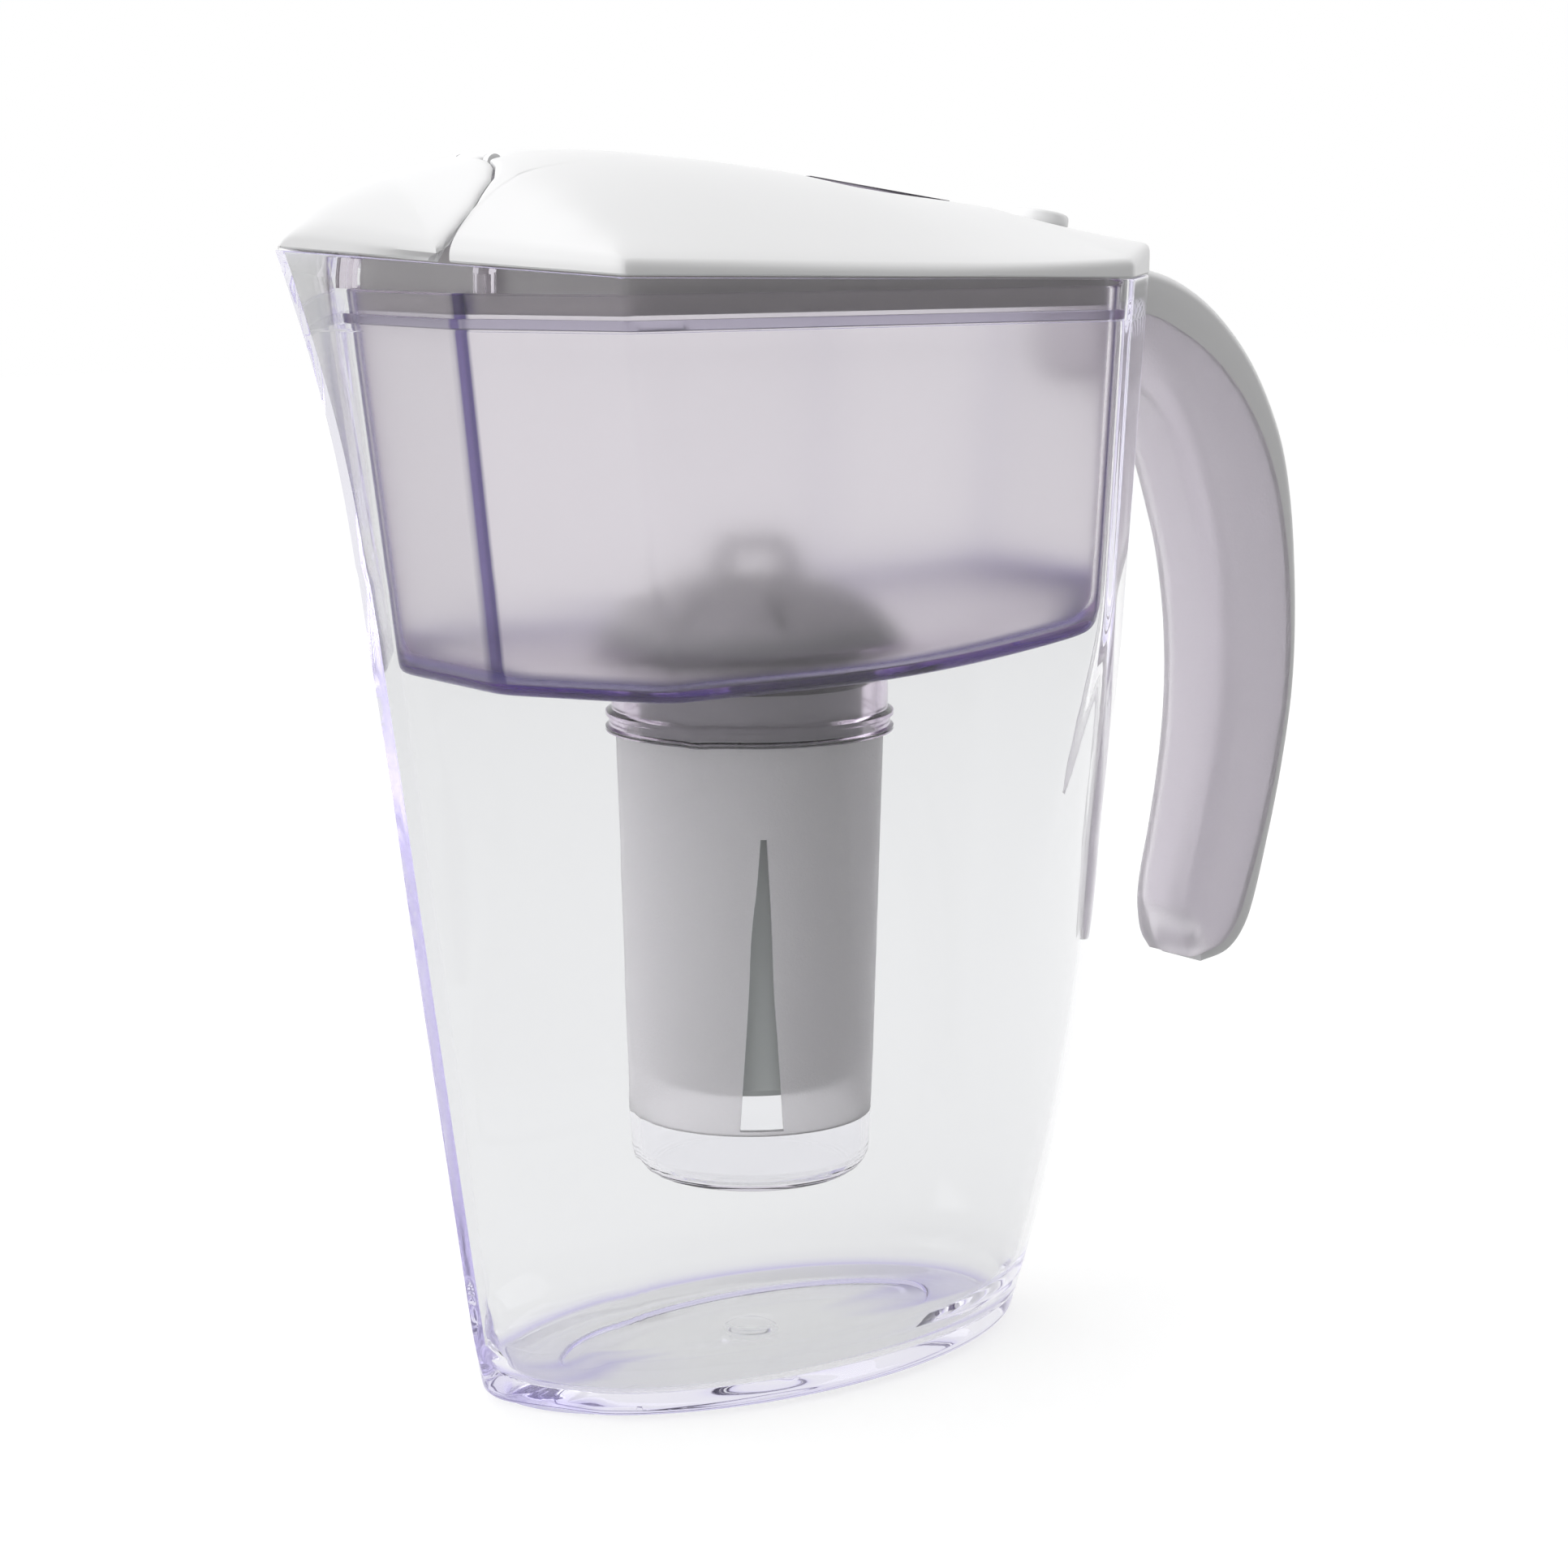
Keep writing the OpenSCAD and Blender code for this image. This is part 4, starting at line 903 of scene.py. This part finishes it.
# ---------------------------------------------------------------- flap
HINGE = Vector((HINGE_X, 0, RIM_H + float(np.interp(HINGE_X, RIDGE[:, 0], RIDGE[:, 1])) - BARREL_R))
CHEEK, CUT_BACK, FLAP_CX = 0.13, 1.5, -84.0


def drawn_in(x):
    """The part of the width that is left at the lower edge of the flap."""
    return 1 - CHEEK * ease(min(1.0, max(0.0, (x + 98) / 12)))


def flap_plan(w):
    """The outline of the flap, and how many of its points are along its rear edge."""
    back = finer([(x - w, y) for x, y in FLAP] + [rim_pt(FLAP_TIP, w, 2)], 4)
    angles = spread(FLAP_TIP, math.pi, 26) + [math.pi]
    return full(back + [rim_pt(a, w, 3.0) for a in angles]), len(back)


def flap_rings():
    outer, k = flap_plan(0)
    inner, _ = flap_plan(LID_WALL)
    n = len(outer)

    def is_cut(i):
        return i < k - 1 or i > n - k + 1

    def low(plan, dz, up):
        """A ring dz under the roof along the rear edge, cut back there, and up over the rim elsewhere."""
        return [(x - CUT_BACK, y, roof(x - CUT_BACK, y) - dz) if is_cut(i)
                else (x, y * drawn_in(x), rim_z(x) + LID_GAP + up) for i, (x, y) in enumerate(plan)]

    foot = low(outer, LID_T * 0.85, 0.25)
    rows = [shrunk(inner, q, LID_T, FLAP_CX) for q in (0.1, 0.35, 0.6, 0.8)]
    rows.append(shrunk(inner, 1, LID_T + 0.6))
    rows += [low(inner, LID_T, 0.05), low(inset(outer, 0.3, FLAP_CX), LID_T * 0.85, 0.0), foot]
    for t, bulge in ((0.25, 0.12), (0.5, 0.35), (0.75, 0.7)):
        ring_ = []
        for i, ((a, b, c), (x, y)) in enumerate(zip(foot, outer)):
            f = t if is_cut(i) else bulge
            top = roof(x, y) - (0.9 if is_cut(i) else 1.7)
            ring_.append((a + (x - a) * f, b + (y - b) * f, c + (top - c) * t))
        rows.append(ring_)
    for w, dz in ((0, 1.7), (0.06, 1.2), (0.25, 0.75), (0.65, 0.36), (1.3, 0.1), (2.2, 0.0)):
        rows.append([(x, y, roof(x, y) - dz * (0.53 if is_cut(i) else 1))
                     for i, (x, y) in enumerate(inset(outer, w, FLAP_CX))])
    top = inset(outer, 2.2, FLAP_CX)
    return rows + [shrunk(top, q, 0, FLAP_CX) for q in (0.9, 0.79, 0.67, 0.55, 0.43, 0.31, 0.19, 0.08)]


BARREL = [(0.9, -5.1), (1.5, -5.1), (BARREL_R, -4.9), (BARREL_R, 4.9), (1.5, 5.1), (0.9, 5.1)]
ALONG_Y = Matrix.Translation(HINGE) @ Matrix.Rotation(math.pi / 2, 4, "X")
flap = make("flap", "flap", flap_rings(), M_WHITE, sharp=32)
barrel = make("flap_barrel", "flap", moved(turned(BARREL, 48), ALONG_Y), M_WHITE, loop=True)
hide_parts("spout_flap")
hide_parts("spout_flap")


# ---------------------------------------------------------------- button
CROWN = [(0.2, 0.6), (4.65, 0.6), (4.75, -2.6), (6.1, -2.6), (6.3, -2.3), (6.3, 1.6), (6.2, 2.1), (5.9, 2.5),
         (5.4, 2.72), (4.8, 2.8), (3.6, 2.76), (1.8, 2.7), (0.2, 2.68)]
button = make("button", "button", moved(turned(CROWN), BUTTON), M_WHITE, sharp=35)
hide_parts("counter_button")


# ---------------------------------------------------------------- stage, light, camera
def floor_mat():
    """Diffuse, darker for the light it throws back on the object, with a little glow so that it stays white."""
    m = bpy.data.materials.new("mat_floor")
    m.use_nodes = True
    nt = m.node_tree
    nt.nodes.clear()
    out, diff, glow, add, path = [nt.nodes.new("ShaderNode" + kind) for kind in (
        "OutputMaterial", "BsdfDiffuse", "Emission", "AddShader", "LightPath")]
    diff.inputs["Color"].default_value = (0.36, 0.36, 0.36, 1)
    nt.links.new(span(nt, path.outputs["Is Diffuse Ray"], 0.72, 0.0), glow.inputs["Strength"])
    nt.links.new(diff.outputs[0], add.inputs[0])
    nt.links.new(glow.outputs[0], add.inputs[1])
    nt.links.new(add.outputs[0], out.inputs["Surface"])
    return m


bpy.ops.mesh.primitive_plane_add(size=8, location=(0, 0, -0.0005))
floor = bpy.context.object
floor.name = "floor"
floor.data.materials.append(floor_mat())


def combine(nt, operation, a, b):
    n = nt.nodes.new("ShaderNodeMath")
    n.operation = operation
    nt.links.new(a, n.inputs[0])
    nt.links.new(b, n.inputs[1])
    return n


def studio():
    """Soft light, stronger from one side. What the camera sees is white, also through clear walls and in gloss."""
    world = bpy.data.worlds.new("World")
    world.use_nodes = True
    nt = world.node_tree
    nt.nodes.clear()
    out, soft, white, mix, path, place, side = [nt.nodes.new("ShaderNode" + kind) for kind in (
        "OutputWorld", "Background", "Background", "MixShader", "LightPath", "TexCoord", "VectorMath")]
    ray = path.outputs
    side.operation = "DOT_PRODUCT"
    side.inputs[1].default_value = (0.5, -0.86, 0.0)
    nt.links.new(place.outputs["Generated"], side.inputs[0])
    gain = combine(nt, "MULTIPLY", span(nt, side.outputs["Value"], 1.7, 0.03, -0.6, 0.9),
                   span(nt, ray["Is Transmission Ray"], 1.0, 1.7))
    nt.links.new(gain.outputs[0], soft.inputs["Strength"])
    white.inputs["Color"].default_value = (1, 1, 1, 1)
    white.inputs["Strength"].default_value = 1.0
    seen = combine(nt, "MAXIMUM", ray["Is Camera Ray"], ray["Is Glossy Ray"])
    seen = combine(nt, "MAXIMUM", seen.outputs[0], ray["Is Transmission Ray"])
    first = combine(nt, "SUBTRACT", seen.outputs[0], ray["Diffuse Depth"])
    first.use_clamp = True
    nt.links.new(first.outputs[0], mix.inputs["Fac"])
    nt.links.new(soft.outputs[0], mix.inputs[1])
    nt.links.new(white.outputs[0], mix.inputs[2])
    nt.links.new(mix.outputs[0], out.inputs["Surface"])
    return world


bpy.context.scene.world = studio()


def area(name, loc, target, size, power):
    data = bpy.data.lights.new(name, "AREA")
    data.shape = "RECTANGLE"
    data.size, data.size_y = size
    data.energy = power
    ob = bpy.data.objects.new(name, data)
    ob.location = loc
    ob.rotation_mode = "QUATERNION"
    ob.rotation_quaternion = (Vector(target) - Vector(loc)).to_track_quat("-Z", "Y")
    bpy.context.scene.collection.objects.link(ob)


area("left", (-1.0, -0.1, 0.6), (0, 0, 0.15), (0.7, 0.7), 3.4)
area("right", (1.0, -0.1, 0.6), (0, 0, 0.15), (0.6, 0.8), 2.6)
area("top", (0.0, 0.25, 1.3), (0, 0, 0.2), (0.8, 0.8), 2.4)

cam_data = bpy.data.cameras.new("cam")
cam_data.lens = 78.26
cam_data.sensor_width = 36
cam_data.clip_start, cam_data.clip_end = 0.05, 20
cam = bpy.data.objects.new("cam", cam_data)
bpy.context.scene.collection.objects.link(cam)
fwd = Vector((0.5794, 0.7975, -0.1681)).normalized()
up = Vector((0.0988, 0.1360, 0.9858))
right = fwd.cross(up).normalized()
up = right.cross(fwd)
cam.matrix_world = Matrix.Translation((-0.4088, -0.5751, 0.2421)) @ Matrix((right, up, -fwd)).transposed().to_4x4()
bpy.context.scene.camera = cam
bpy.context.scene.view_settings.view_transform = "Standard"
cycles = bpy.context.scene.cycles
cycles.max_bounces = cycles.transmission_bounces = cycles.glossy_bounces = 96  # for the many clear walls in a row
cycles.transparent_max_bounces = 32
